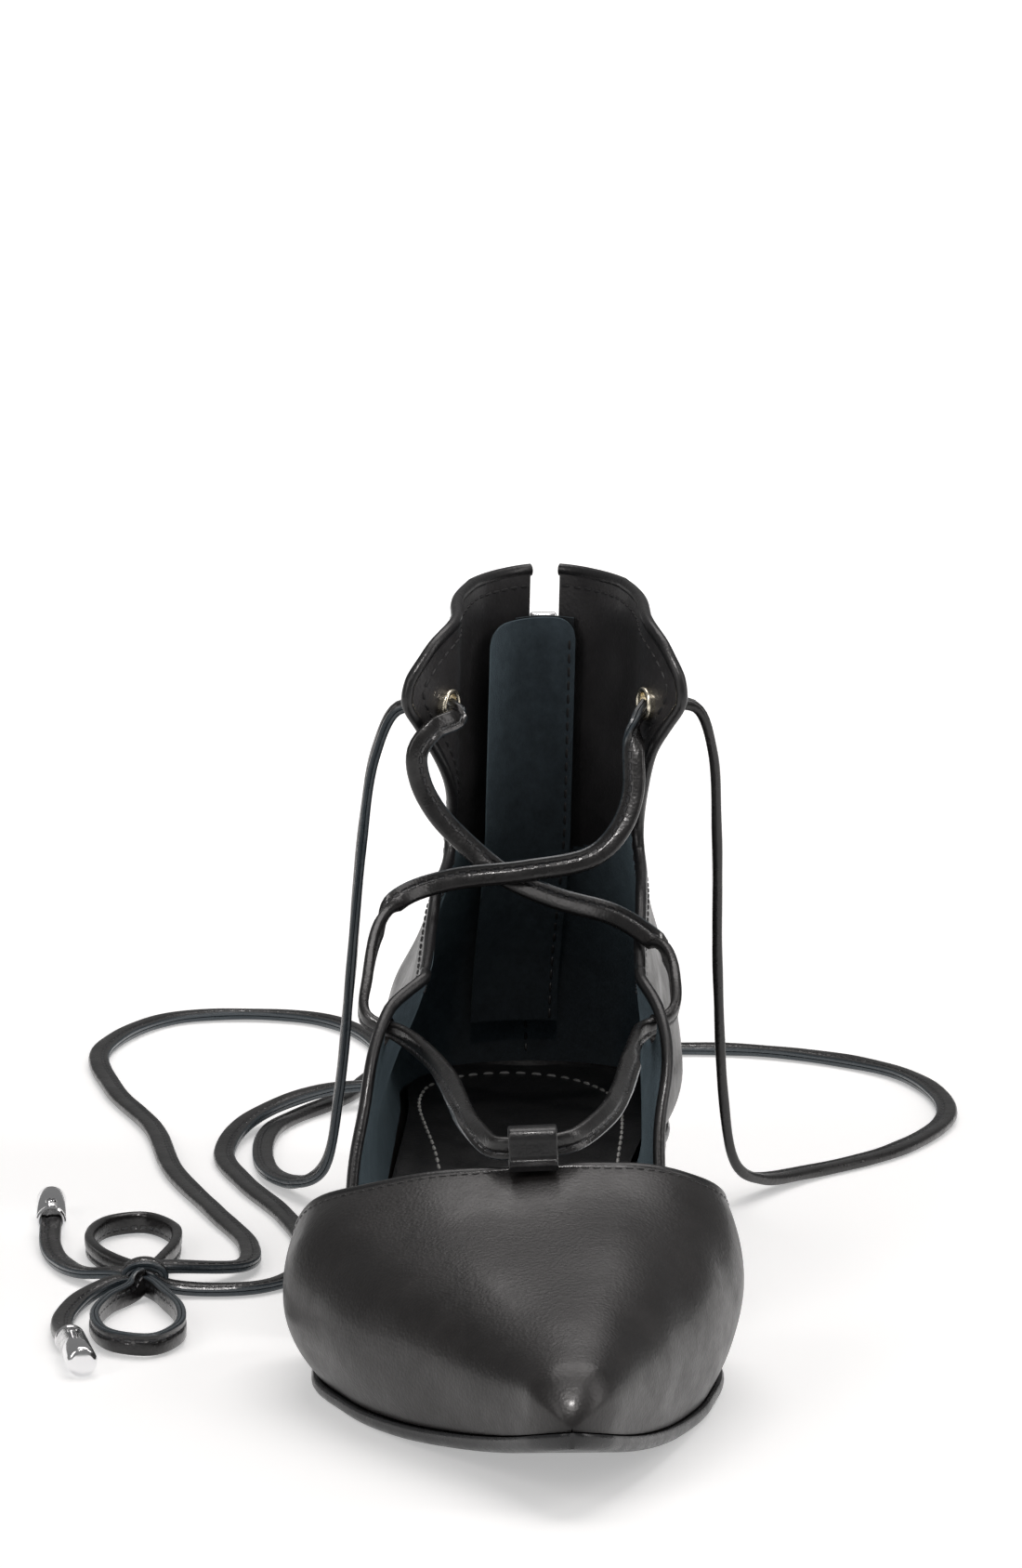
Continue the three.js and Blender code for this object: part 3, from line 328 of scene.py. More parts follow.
# Point of the vamp: across from -1 at the outer side's sole edge, over the ridge at 0, to 1
def vamp_point(across, y, depth):
    at = y / LENGTH
    lateral = across < 0
    sign = np.where(lateral, -1.0, 1.0)
    start = NOSE_SET_BACK + depth
    round_off = end_cap(y - start, TOE_RADIUS - depth)
    foot_centre, foot_half = sole_plan(y)
    wide_centre, wide_half = bulge_plan(y)
    floor = feather_height(y)
    lift = end_cap(y - start, NOSE_ROUNDING)
    bulge = VAMP_HEIGHT * np.where(lateral, lateral_bulge(at), medial_bulge(at)) * lift
    crown = VAMP_HEIGHT * vamp_rise(at) * lift - depth
    up = 1 - np.abs(across)
    foot_x = foot_centre + sign * (foot_half - FEATHER_INSET - depth) * round_off
    wide_x = wide_centre + sign * (wide_half - depth) * round_off
    flank = up / FLANK_SHARE
    angle = np.clip((up - FLANK_SHARE) / (1 - FLANK_SHARE), 0, 1) * math.pi / 2
    power = 2 / np.where(lateral, LATERAL_SHOULDER, MEDIAL_SHOULDER)
    ridge = mix(wide_centre, SOLE_WIDTH * vamp_ridge(at), round_off)
    inward = 1 - np.cos(angle) ** power
    upward = np.sin(angle) ** power
    low = up < FLANK_SHARE
    x = np.where(low, mix(foot_x, wide_x, swell(flank)), mix(wide_x, ridge, inward))
    rise = mix(bulge, np.maximum(bulge + LEAST_CROWN, crown), upward)
    z = floor + np.where(low, bulge * flank, rise)
    return np.stack([x, y + 0 * x, z], axis=-1)


def topline_station(across):
    y = LENGTH * topline_at(TOPLINE_FIRST_RISE) + 0 * across
    for _ in range(SETTLE_STEPS):
        rise = (vamp_point(across, y, 0)[..., 2] - feather_height(y)) / VAMP_HEIGHT
        y = mix(y, LENGTH * topline_at(rise), 0.5)
    return y


def back_station(z):
    feather = feather_height(LENGTH)
    foot = LENGTH - SOLE_SET_BACK - FEATHER_INSET
    low = mix(foot, LENGTH, swell((z - feather) / (BULGE_HEIGHT - feather)))
    return np.where(z >= BULGE_HEIGHT, LENGTH * back_at(z / BACK_HEIGHT), low)


def quarter_plan(y, z):
    low_centre, low_half = bulge_plan(y)
    high_centre, high_half = ankle_plan(y)
    narrowing = smooth_step(BULGE_HEIGHT, ANKLE_HEIGHT, z)
    forward = np.maximum(0, LENGTH * FLARE_START - y) / FLARE_LENGTH
    flare = EAR_FLARE * forward ** 2 * smooth_step(ANKLE_HEIGHT, FLARE_HEIGHT, z)
    lean = BACK_LEAN * np.maximum(0, (z - ANKLE_HEIGHT) / (BACK_HEIGHT - ANKLE_HEIGHT))
    centre = mix(low_centre, high_centre, narrowing) + lean
    half = mix(low_half, high_half, narrowing) + flare
    feather = feather_height(y)
    out = swell((z - feather) / (BULGE_HEIGHT - feather))
    foot_centre, foot_half = sole_plan(y)
    low = z < BULGE_HEIGHT
    centre = np.where(low, mix(foot_centre, centre, out), centre)
    half = np.where(low, mix(foot_half - FEATHER_INSET, half, out), half)
    return centre, half


def back_round(z):
    return mix(HEEL_RADIUS, ANKLE_RADIUS, smooth_step(BULGE_HEIGHT, ANKLE_HEIGHT, z))


def quarter_point(side, y, z, depth):
    centre, half = quarter_plan(y, z)
    round_off = end_cap(back_station(z) - depth - y, back_round(z) - depth, back_power(z / BACK_HEIGHT))
    return np.stack([centre + side * (half - depth) * round_off, y + 0 * z, z + 0 * y], axis=-1)


def seam_point(aside, z, depth):
    back = back_station(z) - depth
    y = back
    for _ in range(SEAM_STEPS):
        half = quarter_plan(y, z)[1]
        share = np.minimum(0.999, np.abs(aside) / (half - depth)) ** (1 / back_power(z / BACK_HEIGHT))
        y = back - (back_round(z) - depth) * (1 - np.sqrt(1 - share))
    return np.stack([quarter_plan(back, z)[0] + aside, y, z + 0 * aside], axis=-1)


# Materials
LEATHER_COLOUR = (0.0104, 0.0090, 0.0087)
SUEDE_COLOUR = (0.046, 0.062, 0.074)
THREAD_COLOUR = (0.028, 0.029, 0.032)
LACE_STITCH = 2.2
LACE_DRAW = 0.88
GROOVE_PLACE = 0.9
# Distances in metres: outer and inner edge of the lace's line of stitches, start and end of its nap
STITCH_LINE_EDGES = (0.00042, 0.00018)
NAP_EDGES = (0.0017, 0.00208)


class Nodes:
    """A material's node tree, with short calls to add and join nodes."""

    def __init__(self, name):
        self.material = bpy.data.materials.new(name)
        self.material.use_nodes = True
        self.tree = self.material.node_tree
        self.place = self.add("ShaderNodeTexCoord").outputs["Object"]

    def add(self, kind, **settings):
        node = self.tree.nodes.new(kind)
        for name, value in settings.items():
            setattr(node, name, value)
        return node

    def feed(self, node, values):
        """Sets inputs of a node, each to a value or to another node's output."""
        for name, value in values.items():
            if isinstance(value, bpy.types.NodeSocket):
                self.tree.links.new(value, node.inputs[name])
            else:
                node.inputs[name].default_value = value

    def noise(self, scale, detail, roughness):
        node = self.add("ShaderNodeTexNoise")
        self.feed(node, {"Scale": scale, "Detail": detail, "Roughness": roughness, "Vector": self.place})
        return node.outputs["Fac"]

    def cells(self, scale):
        node = self.add("ShaderNodeTexVoronoi", feature="SMOOTH_F1")
        self.feed(node, {"Scale": scale, "Smoothness": 0.4, "Vector": self.place})
        return node.outputs["Distance"]

    def parts_of(self, source):
        node = self.add("ShaderNodeSeparateXYZ")
        self.feed(node, {"Vector": source})
        return node.outputs

    def maths(self, operation, *values):
        node = self.add("ShaderNodeMath", operation=operation)
        self.feed(node, dict(enumerate(values)))
        return node.outputs["Value"]

    def ramp(self, source, low, high, first=0, second=1):
        node = self.add("ShaderNodeMapRange")
        ends = {"From Min": low, "From Max": high, "To Min": first, "To Max": second}
        self.feed(node, {"Value": source, **ends})
        return node.outputs["Result"]

    def blend(self, first, second, share):
        """Mixes two colours, each a value or another node's output."""
        node = self.add("ShaderNodeMix", data_type="RGBA")
        self.feed(node, {6: first, 7: second, "Factor": share})
        return node.outputs[2]

    def tone(self, colour, paler, source, low, high):
        """A colour that turns paler, by a factor, where the source is high."""
        pale = tuple(paler * c for c in colour)
        return self.blend((*colour, 1), (*pale, 1), self.ramp(source, low, high))

    def bump(self, source, strength, distance, after=None):
        node = self.add("ShaderNodeBump")
        self.feed(node, {"Strength": strength, "Distance": distance, "Height": source})
        if after is not None:
            self.feed(node, {"Normal": after})
        return node.outputs["Normal"]

    def shade(self, values):
        self.feed(self.tree.nodes["Principled BSDF"], values)
        return self.material


def leather(name, colour, roughness=0.4, grain=1500, coat=0.12):
    nodes = Nodes(name)
    pores = nodes.bump(nodes.cells(grain), 0.35, 0.00012)
    lines = nodes.bump(nodes.noise(420, 4, 0.6), 0.25, 0.0002, pores)
    return nodes.shade({
        "Base Color": nodes.tone(colour, 1.6, nodes.noise(55, 4, 0.6), 0.42, 0.72),
        "Roughness": nodes.ramp(nodes.noise(160, 5, 0.65), 0.3, 0.7, roughness - 0.07, roughness + 0.1),
        "Normal": nodes.bump(nodes.noise(70, 2, 0.4), 0.1, 0.0008, lines),
        "Coat Weight": coat,
        "Coat Roughness": 0.16,
        "Specular IOR Level": 0.46,
    })


def suede(name, colour):
    nodes = Nodes(name)
    nap = nodes.bump(nodes.noise(1900, 4, 0.7), 0.5, 0.00025)
    return nodes.shade({
        "Base Color": nodes.tone(colour, 1.7, nodes.noise(260, 6, 0.7), 0.35, 0.7),
        "Roughness": 0.95,
        "Normal": nodes.bump(nodes.noise(120, 3, 0.5), 0.25, 0.0006, nap),
        "Specular IOR Level": 0.2,
        "Sheen Weight": 0.35,
        "Sheen Roughness": 0.5,
        "Sheen Tint": (0.55, 0.75, 0.85, 1),
    })


def metal(name, colour, roughness):
    nodes = Nodes(name)
    return nodes.shade({
        "Base Color": (*colour, 1),
        "Metallic": 1.0,
        "Roughness": nodes.ramp(nodes.noise(500, 4, 0.6), 0.35, 0.7, roughness, roughness + 0.12),
        "Normal": nodes.bump(nodes.noise(300, 2, 0.5), 0.05, 0.0002),
    })


def rubber(name, colour, roughness):
    nodes = Nodes(name)
    return nodes.shade({
        "Base Color": nodes.tone(colour, 1.8, nodes.noise(90, 5, 0.7), 0.45, 0.75),
        "Roughness": nodes.ramp(nodes.noise(240, 4, 0.7), 0.3, 0.7, roughness - 0.06, roughness + 0.12),
        "Normal": nodes.bump(nodes.noise(1400, 3, 0.6), 0.25, 0.00015),
    })


# Lace leather: its UVs run along and across the strip, in metres, and carry its line of stitches
def lace_leather(name, colour):
    nodes = Nodes(name)
    strip = nodes.parts_of(nodes.add("ShaderNodeUVMap", uv_map="strip").outputs["UV"])
    wave = nodes.maths("SINE", nodes.maths("MULTIPLY", strip["X"], 2 * math.pi / (LACE_STITCH * MM)))
    aside = nodes.maths("SUBTRACT", strip["Y"], GROOVE_PLACE * LACE_DRAW * MM)
    line = nodes.ramp(nodes.maths("ABSOLUTE", aside), *STITCH_LINE_EDGES)
    stitch = nodes.maths("MULTIPLY", nodes.ramp(wave, -0.6, -0.2), line)
    tone = nodes.tone(colour, 1.8, nodes.noise(90, 4, 0.6), 0.4, 0.72)
    sewn = nodes.blend(tone, (*THREAD_COLOUR, 1), stitch)
    grain = nodes.bump(nodes.cells(1700), 0.3, 0.00012)
    folds = nodes.bump(nodes.noise(230, 3, 0.5), 0.35, 0.0005, grain)
    return nodes.shade({
        "Base Color": nodes.blend(sewn, (*SUEDE_COLOUR, 1), nodes.ramp(strip["Y"], *NAP_EDGES, 0, 0.8)),
        "Roughness": nodes.ramp(nodes.noise(260, 4, 0.6), 0.3, 0.7, 0.22, 0.38),
        "Normal": nodes.bump(stitch, 0.7, 0.0003, folds),
        "Coat Weight": 0.2,
        "Coat Roughness": 0.3,
    })


upper_leather = leather("upper_leather", LEATHER_COLOUR)
lining_leather = leather("lining_leather", (0.026, 0.025, 0.026), 0.42, 1300, 0.05)
sock_leather = leather("sock_leather", (0.0085, 0.0085, 0.0095), 0.44, 1200, 0.05)
binding_leather = leather("binding_leather", (0.0085, 0.0083, 0.009), 0.36, 1700, 0.12)
strip_leather = lace_leather("lace_leather", (0.0072, 0.0066, 0.0066))
suede_lining = suede("suede_lining", SUEDE_COLOUR)
sole_rubber = rubber("sole_rubber", (0.007, 0.0072, 0.0082), 0.27)
heel_rubber = rubber("heel_rubber", (0.012, 0.012, 0.0125), 0.55)
dark_thread = rubber("dark_thread", (0.010, 0.010, 0.011), 0.6)
white_thread = rubber("white_thread", (0.62, 0.61, 0.58), 0.7)
tape_cloth = suede("tape_cloth", (0.013, 0.014, 0.016))
chrome = metal("chrome", (0.82, 0.82, 0.83), 0.08)
pale_gold = metal("pale_gold", (0.80, 0.74, 0.60), 0.2)
dark_metal = metal("dark_metal", (0.12, 0.12, 0.125), 0.35)


# Meshes
SHARP_ANGLE = math.radians(42)


def add_mesh(name, points, faces, material, slot, stands_for=(), body=BODY, uvs=None, marks=()):
    """A piece from points in the part's own millimetres. marks: other materials, each with its faces."""
    mesh = bpy.data.meshes.new(name)
    mesh.from_pydata(world(points).tolist(), [], faces)
    mesh.materials.append(material)
    index = np.zeros(len(mesh.polygons), np.int32)
    for number, (other, chosen) in enumerate(marks, 1):
        mesh.materials.append(other)
        index[chosen] = number
    mesh.polygons.foreach_set("material_index", index)
    mesh.polygons.foreach_set("use_smooth", np.ones(len(mesh.polygons), bool))
    if uvs is not None:
        layer = mesh.uv_layers.new(name="strip")
        corners = np.zeros(len(mesh.loops), np.int32)
        mesh.loops.foreach_get("vertex_index", corners)
        layer.data.foreach_set("uv", np.asarray(uvs, np.float32)[corners].ravel())
    mesh.set_sharp_from_angle(angle=SHARP_ANGLE)
    piece = bpy.data.objects.new(name, mesh)
    bpy.context.scene.collection.objects.link(piece)
    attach(piece, body)
    if stands_for:
        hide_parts(*stands_for)
    return piece


def grid_faces(rows, columns, start=0):
    index = start + np.arange(rows * columns).reshape(rows, columns)
    a, b = index[:-1, :-1].ravel(), index[:-1, 1:].ravel()
    c, d = index[1:, 1:].ravel(), index[1:, :-1].ravel()
    return np.stack([a, b, c, d], axis=1)


def ring_faces(rows, sides, start=0):
    """Faces round a stack of rings, open at both ends."""
    index = start + np.arange(rows * sides).reshape(rows, sides)
    after = np.roll(index, -1, axis=1)
    return np.stack([index[:-1], after[:-1], after[1:], index[1:]], axis=-1).reshape(-1, 4).tolist()


def capped_rings(rings):
    """Points and faces of a stack of rings, closed at both ends."""
    rows, sides = rings.shape[:2]
    last = (rows - 1) * sides
    caps = [list(range(sides))[::-1], list(range(last, last + sides))]
    return rings.reshape(-1, 3), ring_faces(rows, sides) + caps


def outward(points, faces):
    """The faces, turned so that the closed surface faces outwards."""
    tri = points[faces[:, :3]]
    second = points[faces[:, [0, 2, 3]]]
    volume = sum(
        np.einsum("ij,ij->i", t[:, 0], np.cross(t[:, 1], t[:, 2])).sum() for t in (tri, second)
    )
    return faces if volume > 0 else faces[:, ::-1]


def shell(outer, inner):
    """Points and faces of a closed sheet between two grids, and how many faces the outer grid has."""
    rows, columns = outer.shape[:2]
    far = rows * columns
    points = np.concatenate([outer.reshape(-1, 3), inner.reshape(-1, 3)])
    front = grid_faces(rows, columns)
    back = grid_faces(rows, columns, far)[:, ::-1]
    index = np.arange(far).reshape(rows, columns)
    rims = []
    for line, flip in ((index[0], True), (index[-1], False), (index[:, 0], False), (index[:, -1], True)):
        a, b = line[:-1], line[1:]
        rim = np.stack([a, b, b + far, a + far], axis=1)
        rims.append(rim if flip else rim[:, ::-1])
    faces = np.concatenate([front, back, *rims])
    return points, outward(points, faces), len(front)


def grid_normals(grid):
    return unit(np.cross(np.gradient(grid, axis=1), np.gradient(grid, axis=0)))


def unit(vectors):
    return vectors / np.maximum(np.linalg.norm(vectors, axis=-1, keepdims=True), 1e-9)


def arc_lengths(line):
    return np.concatenate([[0], np.cumsum(np.linalg.norm(np.diff(line, axis=0), axis=1))])


def sampled(values, s, at):
    return np.stack([np.interp(at, s, column) for column in values.T], axis=1)


def evenly(line, step, *others):
    """The line with points about a step apart, and other rows of values taken at the same places."""
    s = arc_lengths(line)
    count = max(3, int(round(s[-1] / step)) + 1)
    at = np.linspace(0, s[-1], count)
    spread = [sampled(values, s, at) for values in (line, *others)]
    return spread if others else spread[0]


def centripetal(points, per_span=24):
    """Smooth curve through points, and the place of each of its points among them."""
    points = np.asarray(points, float)
    padded = np.concatenate([[2 * points[0] - points[1]], points, [2 * points[-1] - points[-2]]])
    line, places = [points[0]], [0.0]
    for i in range(len(points) - 1):
        p0, p1, p2, p3 = padded[i:i + 4]
        d0, d1, d2 = [max(np.linalg.norm(b - a) ** 0.5, 1e-4) for a, b in ((p0, p1), (p1, p2), (p2, p3))]
        t1 = ((p1 - p0) / d0 - (p2 - p0) / (d0 + d1) + (p2 - p1) / d1) * d1
        t2 = ((p2 - p1) / d1 - (p3 - p1) / (d1 + d2) + (p3 - p2) / d2) * d1
        for k in range(1, per_span + 1):
            t = k / per_span
            a = 2 * p1 - 2 * p2 + t1 + t2
            b = -3 * p1 + 3 * p2 - 2 * t1 - t2
            line.append(a * t ** 3 + b * t ** 2 + t1 * t + p1)
            places.append(i + t)
    return np.array(line), np.array(places)


def frames(line, facing):
    """Across and outward directions of a strip that lies along a line."""
    ahead = unit(np.gradient(line, axis=0))
    wide = unit(np.cross(facing, ahead))
    return wide, unit(np.cross(ahead, wide))


def sweep(line, facing, section, scale=None):
    """Points, faces and strip UVs of a section drawn along a line. section: rows of across and up."""
    wide, normal = frames(line, facing)
    if scale is None:
        scale = np.ones((len(line), 2))
    across = section[None, :, 0] * scale[:, :1]
    up = section[None, :, 1] * scale[:, 1:]
    rings = line[:, None] + across[..., None] * wide[:, None] + up[..., None] * normal[:, None]
    uvs = np.stack([np.repeat(arc_lengths(line), len(section)), across.ravel()], axis=1) * MM
    return *capped_rings(rings), uvs


def round_section(half_wide, half_thick, count=12):
    turn = np.arange(count) * 2 * math.pi / count
    return np.stack([half_wide * np.cos(turn), half_thick * np.sin(turn)], axis=1)


def flat_section(half_wide, half_thick, rounding, per_corner=4):
    """A flat band with rounded edges."""
    corners = [(1, 1, 0), (-1, 1, 90), (-1, -1, 180), (1, -1, 270)]
    rows = []
    for sx, sy, start in corners:
        for k in range(per_corner):
            turn = math.radians(start + 90 * k / (per_corner - 1))
            rows.append((
                sx * (half_wide - rounding) + rounding * math.cos(turn),
                sy * (half_thick - rounding) + rounding * math.sin(turn),
            ))
    return np.array(rows)


def joined(parts):
    """One set of points and faces from several."""
    points, faces = [], []
    start = 0
    for some, their in parts:
        points.append(some)
        faces.extend([[start + i for i in face] for face in their])
        start += len(some)
    return np.concatenate(points), faces


# Relief: soft troughs and ridges. Rows: both ends, half-width, height at the middle
def relief(points, rows):
    total = np.zeros(points.shape[:-1])
    for start, end, width, rise in rows:
        a, b = np.array(start, float), np.array(end, float)
        share = np.clip(((points - a) @ (b - a)) / ((b - a) @ (b - a)), 0, 1)
        away = np.linalg.norm(points - a - share[..., None] * (b - a), axis=-1)
        fade = np.sin(math.pi * np.clip(0.08 + 0.84 * share, 0, 1)) ** 0.7
        total += rise * fade * np.exp(-(away / width) ** 2)
    return total


def ripple(points, height):
    """Slow unevenness of drawn leather."""
    x, y, z = points[..., 0], points[..., 1], points[..., 2]
    slow = np.sin(0.21 * x + 0.09 * y + 1.3) * np.sin(0.13 * y - 0.17 * z)
    return height * (slow + 0.6 * np.sin(0.31 * z + 0.23 * x))


# Stitches along an edge: each is a short round-ended thread lying on the surface
STITCH_PROFILE = np.array([(0.0, 0.25), (0.12, 0.8), (0.3, 1.0), (0.7, 1.0), (0.88, 0.8), (1.0, 0.25)])
STITCH_SIDES = 6


def thread_stitches(line, normals, length, space, radius):
    line, normals = evenly(line, 0.35, normals)
    s = arc_lengths(line)
    count = max(1, int(s[-1] // (length + space)))
    pitch = s[-1] / count
    turn = np.arange(STITCH_SIDES) * 2 * math.pi / STITCH_SIDES
    places, sizes = STITCH_PROFILE.T
    parts = []
    for i in range(count):
        at = (i + 0.5 * (1 - length / pitch)) * pitch + length * places
        centre = sampled(line, s, at)
        up = unit(sampled(normals, s, at))
        aside = unit(np.cross(up, unit(centre[-1] - centre[0])))
        centre = centre + up * (0.45 * radius * sizes - 0.3 * radius)[:, None]
        spokes = np.cos(turn)[None, :, None] * aside[:, None] + np.sin(turn)[None, :, None] * up[:, None]
        parts.append(capped_rings(centre[:, None] + (radius * sizes)[:, None, None] * spokes))
    return joined(parts)


class Surface:
    """Nearest places on a grid of points."""

    def __init__(self, grid):
        rows, columns = grid.shape[:2]
        self.tree = BVHTree.FromPolygons(grid.reshape(-1, 3).tolist(), grid_faces(rows, columns).tolist())

    def near(self, points):
        found = [self.tree.find_nearest(Vector(p))[:2] for p in points]
        return np.array([f[0] for f in found]), np.array([f[1] for f in found])

    def beside(self, edge, inset, outer):
        """A line on the surface at a distance in from its edge. outer: which way the surface faces."""
        edge = evenly(edge, 0.8)
        normals = self.near(edge)[1]
        normals *= np.sign((normals * outer(edge)).sum(axis=1, keepdims=True))
        ahead = unit(np.gradient(edge, axis=0))
        inward = unit(np.cross(normals, ahead))
        one = self.near(edge + inward * inset)[0]
        other = self.near(edge - inward * inset)[0]
        gap_one = np.linalg.norm(one - edge, axis=1).mean()
        gap_other = np.linalg.norm(other - edge, axis=1).mean()
        line, normals = self.near(smooth_line(one if gap_one > gap_other else other, 3))
        normals *= np.sign((normals * outer(line)).sum(axis=1, keepdims=True))
        return line, normals


def smooth_line(line, times):
    for _ in range(times):
        line = np.concatenate([line[:1], (line[:-2] + 2 * line[1:-1] + line[2:]) / 4, line[-1:]])
    return line


# Vamp
VAMP_GRID = (120, 220)
VAMP_RELIEF = [
    ((2, 8, 22), (12, 66, 38), 6, 0.5),
    ((-6, 14, 22), (-4, 70, 36), 6, -0.4),
    ((-20, 40, 22), (-34, 78, 26), 7, 0.3),
    ((-42, 62, 14), (-40, 92, 24), 3, -0.25),
    ((30, 58, 16), (33, 92, 26), 3, -0.2),
    ((24, 40, 18), (27, 70, 30), 5, 0.25),
]
BEAD = (1.25, 1.15)
VAMP_STITCH_INSET = 1.7
# Stitches: length, space between them and radius of the thread
VAMP_STITCH = (1.5, 0.5, 0.16)
EDGE_STITCH_INSET = 2.9
STITCH = (1.9, 0.7, 0.3)


def dressed(outer, inner, rows, waves, fade):
    """The two faces of a sheet, moved outward by its relief and ripples."""
    normals = grid_normals(outer)
    normals *= np.sign(((outer - inner) * normals).sum(axis=-1, keepdims=True))
    lift = ((relief(outer, rows) + ripple(outer, waves)) * fade)[..., None] * normals
    return outer + lift, inner + lift


def vamp_side(depth):
    rows, columns = VAMP_GRID
    across = np.linspace(-1, 1, columns + 1)[None, :]
    start = NOSE_SET_BACK + depth
    share = (np.linspace(0, 1, rows + 1) ** 1.5)[:, None]
    return vamp_point(across, start + (topline_station(across) - start) * share, depth)


def bead(name, outer_line, inner_line):
    """A bound edge: a bead over the middle of the wall."""
    middle, facing = evenly((outer_line + inner_line) / 2, 0.7, outer_line - inner_line)
    points, faces, _ = sweep(middle, facing, round_section(*BEAD))
    add_mesh(name, points, faces, binding_leather, "upper_leather")


def away_from(centre, weights=(1, 1, 1)):
    """A function that gives, for places, their directions away from a centre."""
    return lambda places: (places - np.array(centre)) * weights


def level(direction, places):
    """The same direction at each place."""
    return np.tile(np.array(direction, float), (len(places), 1))


def edge_stitches(name, surface, edge, outer, inset, slot="upper_leather", thread=None, size=STITCH):
    line, normals = surface.beside(edge, inset, outer)
    points, faces = thread_stitches(line, normals, *size)
    add_mesh(name, points, faces, thread or dark_thread, slot)


def make_vamp():
    outer, inner = vamp_side(0), vamp_side(WALL)
    up = 1 - np.abs(np.linspace(-1, 1, outer.shape[1]))[None, :]
    forward = np.linspace(0, 1, outer.shape[0])[:, None]
    fade = smooth_step(0.02, 0.2, up) * smooth_step(0, 0.3, forward)
    outer, inner = dressed(outer, inner, VAMP_RELIEF, 0.16, fade)
    points, faces, _ = shell(outer, inner)
    add_mesh("vamp_leather", points, faces, upper_leather, "upper_leather", ["vamp"])
    bead("vamp_binding", outer[-1], inner[-1])
    edge_stitches("vamp_edge_stitches", Surface(outer[40:]), outer[-1], away_from((0, 60, 0)),
                  VAMP_STITCH_INSET, thread=binding_leather, size=VAMP_STITCH)


# Back piece: two halves that meet in a seam below the zip's slot
QUARTER_GRID = (150, 170)
SLOT_TURN = 3
SLOT_STITCH_INSET = 1.7
# The lining's leather facing: height of its foot at a station, and its slope from there
FACING_FOOT = 79
FACING_STATION = 214
FACING_SLOPE = 0.35
HEEL_AXIS = (4, 225, 0)
FORE_ROWS = 500
QUARTER_RELIEF = [
    ((30, 222, 60), (18, 252, 66), 4, -0.35),
    ((27, 226, 70), (16, 250, 74), 3, -0.3),
    ((-26, 222, 62), (-12, 250, 68), 4, -0.35),
    ((-22, 226, 72), (-10, 248, 76), 3, -0.3),
    ((28, 206, 108), (22, 226, 84), 3, 0.35),
    ((-22, 206, 108), (-16, 226, 84), 3, 0.35),
    ((25, 212, 96), (22, 232, 90), 3, -0.3),
    ((-17, 212, 96), (-14, 232, 90), 3, -0.3),
    ((-36, 150, 40), (-40, 190, 30), 8, 0.4),
    ((34, 150, 40), (36, 190, 30), 8, 0.35),
    ((-38, 176, 44), (-33, 214, 50), 3.5, -0.4),
    ((33, 176, 44), (35, 214, 50), 3.5, -0.35),
]


def quarter_side(side, depth):
    """Half of the back piece, a row for each place on its free edge, from the seam or slot to that edge."""
    rows, columns = QUARTER_GRID
    grid = []
    for along in np.linspace(0, EDGE[-1][0], rows + 1):
        edge_y = LENGTH * edge_at(along)
        forward = np.linspace(0, 1, FORE_ROWS) ** mix(1.5, 2.4, (LENGTH - edge_y) / (LENGTH / 2))
        heel_z = feather_height(LENGTH) + BACK_HEIGHT * edge_seam(along)
        y = mix(back_station(heel_z) - depth, edge_y, forward)
        rise = BACK_HEIGHT * mix(edge_seam(along), edge_rise(along), forward)
        line = quarter_point(side, y, feather_height(y) + rise, depth)
        line[0, 0] = quarter_plan(y[0], line[0, 2])[0]
        s = arc_lengths(line)
        slot = SLOT_WIDTH / 2 * math.sqrt(min(1, max(0, (heel_z - SLOT_FOOT) / SLOT_TURN)))
        at = np.linspace(slot, s[-1], columns + 1)
        grid.append(sampled(line, s, at))
    return np.array(grid)


def make_quarter_half(side, name):
    outer, inner = quarter_side(side, 0), quarter_side(side, WALL)
    rows, columns = outer.shape[:2]
    fade = smooth_step(0.0, 0.15, np.linspace(0, 1, rows))[:, None] * np.ones((1, columns))
    seam_fade = smooth_step(0, 8, np.linalg.norm(outer - outer[:, :1], axis=-1))
    outer, inner = dressed(outer, inner, QUARTER_RELIEF, 0.22, fade * seam_fade)
    points, faces, front = shell(outer, inner)
    middle = points[faces].mean(axis=1)
    inside = np.zeros(len(faces), bool)
    inside[front:2 * front] = True
    facing = middle[:, 2] > FACING_FOOT - FACING_SLOPE * (middle[:, 1] - FACING_STATION)
    lined = inside & ~facing & (middle[:, 2] > feather_height(middle[:, 1]) + INSOLE_THICKNESS)
    half = add_mesh(f"quarter_{name}", points, faces, upper_leather, "upper_leather", ["quarter"],
                    marks=((suede_lining, lined), (lining_leather, inside & facing)))
    for place, radius in ((EAR_HOLE, EAR_HOLE_RADIUS), (EYELET_PLACE, EYELET_HOLE_RADIUS + GAP)):
        cut_hole(half, *wall_frame(side, place), radius)
    edge_out, edge_in = [np.concatenate([face[:, -1], face[-1, ::-1][1:]]) for face in (outer, inner)]
    bead(f"quarter_binding_{name}", edge_out, edge_in)
    surface = Surface(outer)
    away = away_from(HEEL_AXIS, (1, 1, 0))
    edge_stitches(f"quarter_edge_stitches_{name}", surface, smooth_line(edge_out[6:], 20), away,
                  EDGE_STITCH_INSET)
    edge_stitches(f"slot_stitches_{name}", surface, outer[rows // 4:, 0], away, SLOT_STITCH_INSET)
    edge_stitches(f"lining_edge_stitches_{name}", Surface(inner), smooth_line(edge_in[40:], 20),
                  away_from(HEEL_AXIS, (-1, -1, 0)), EDGE_STITCH_INSET)


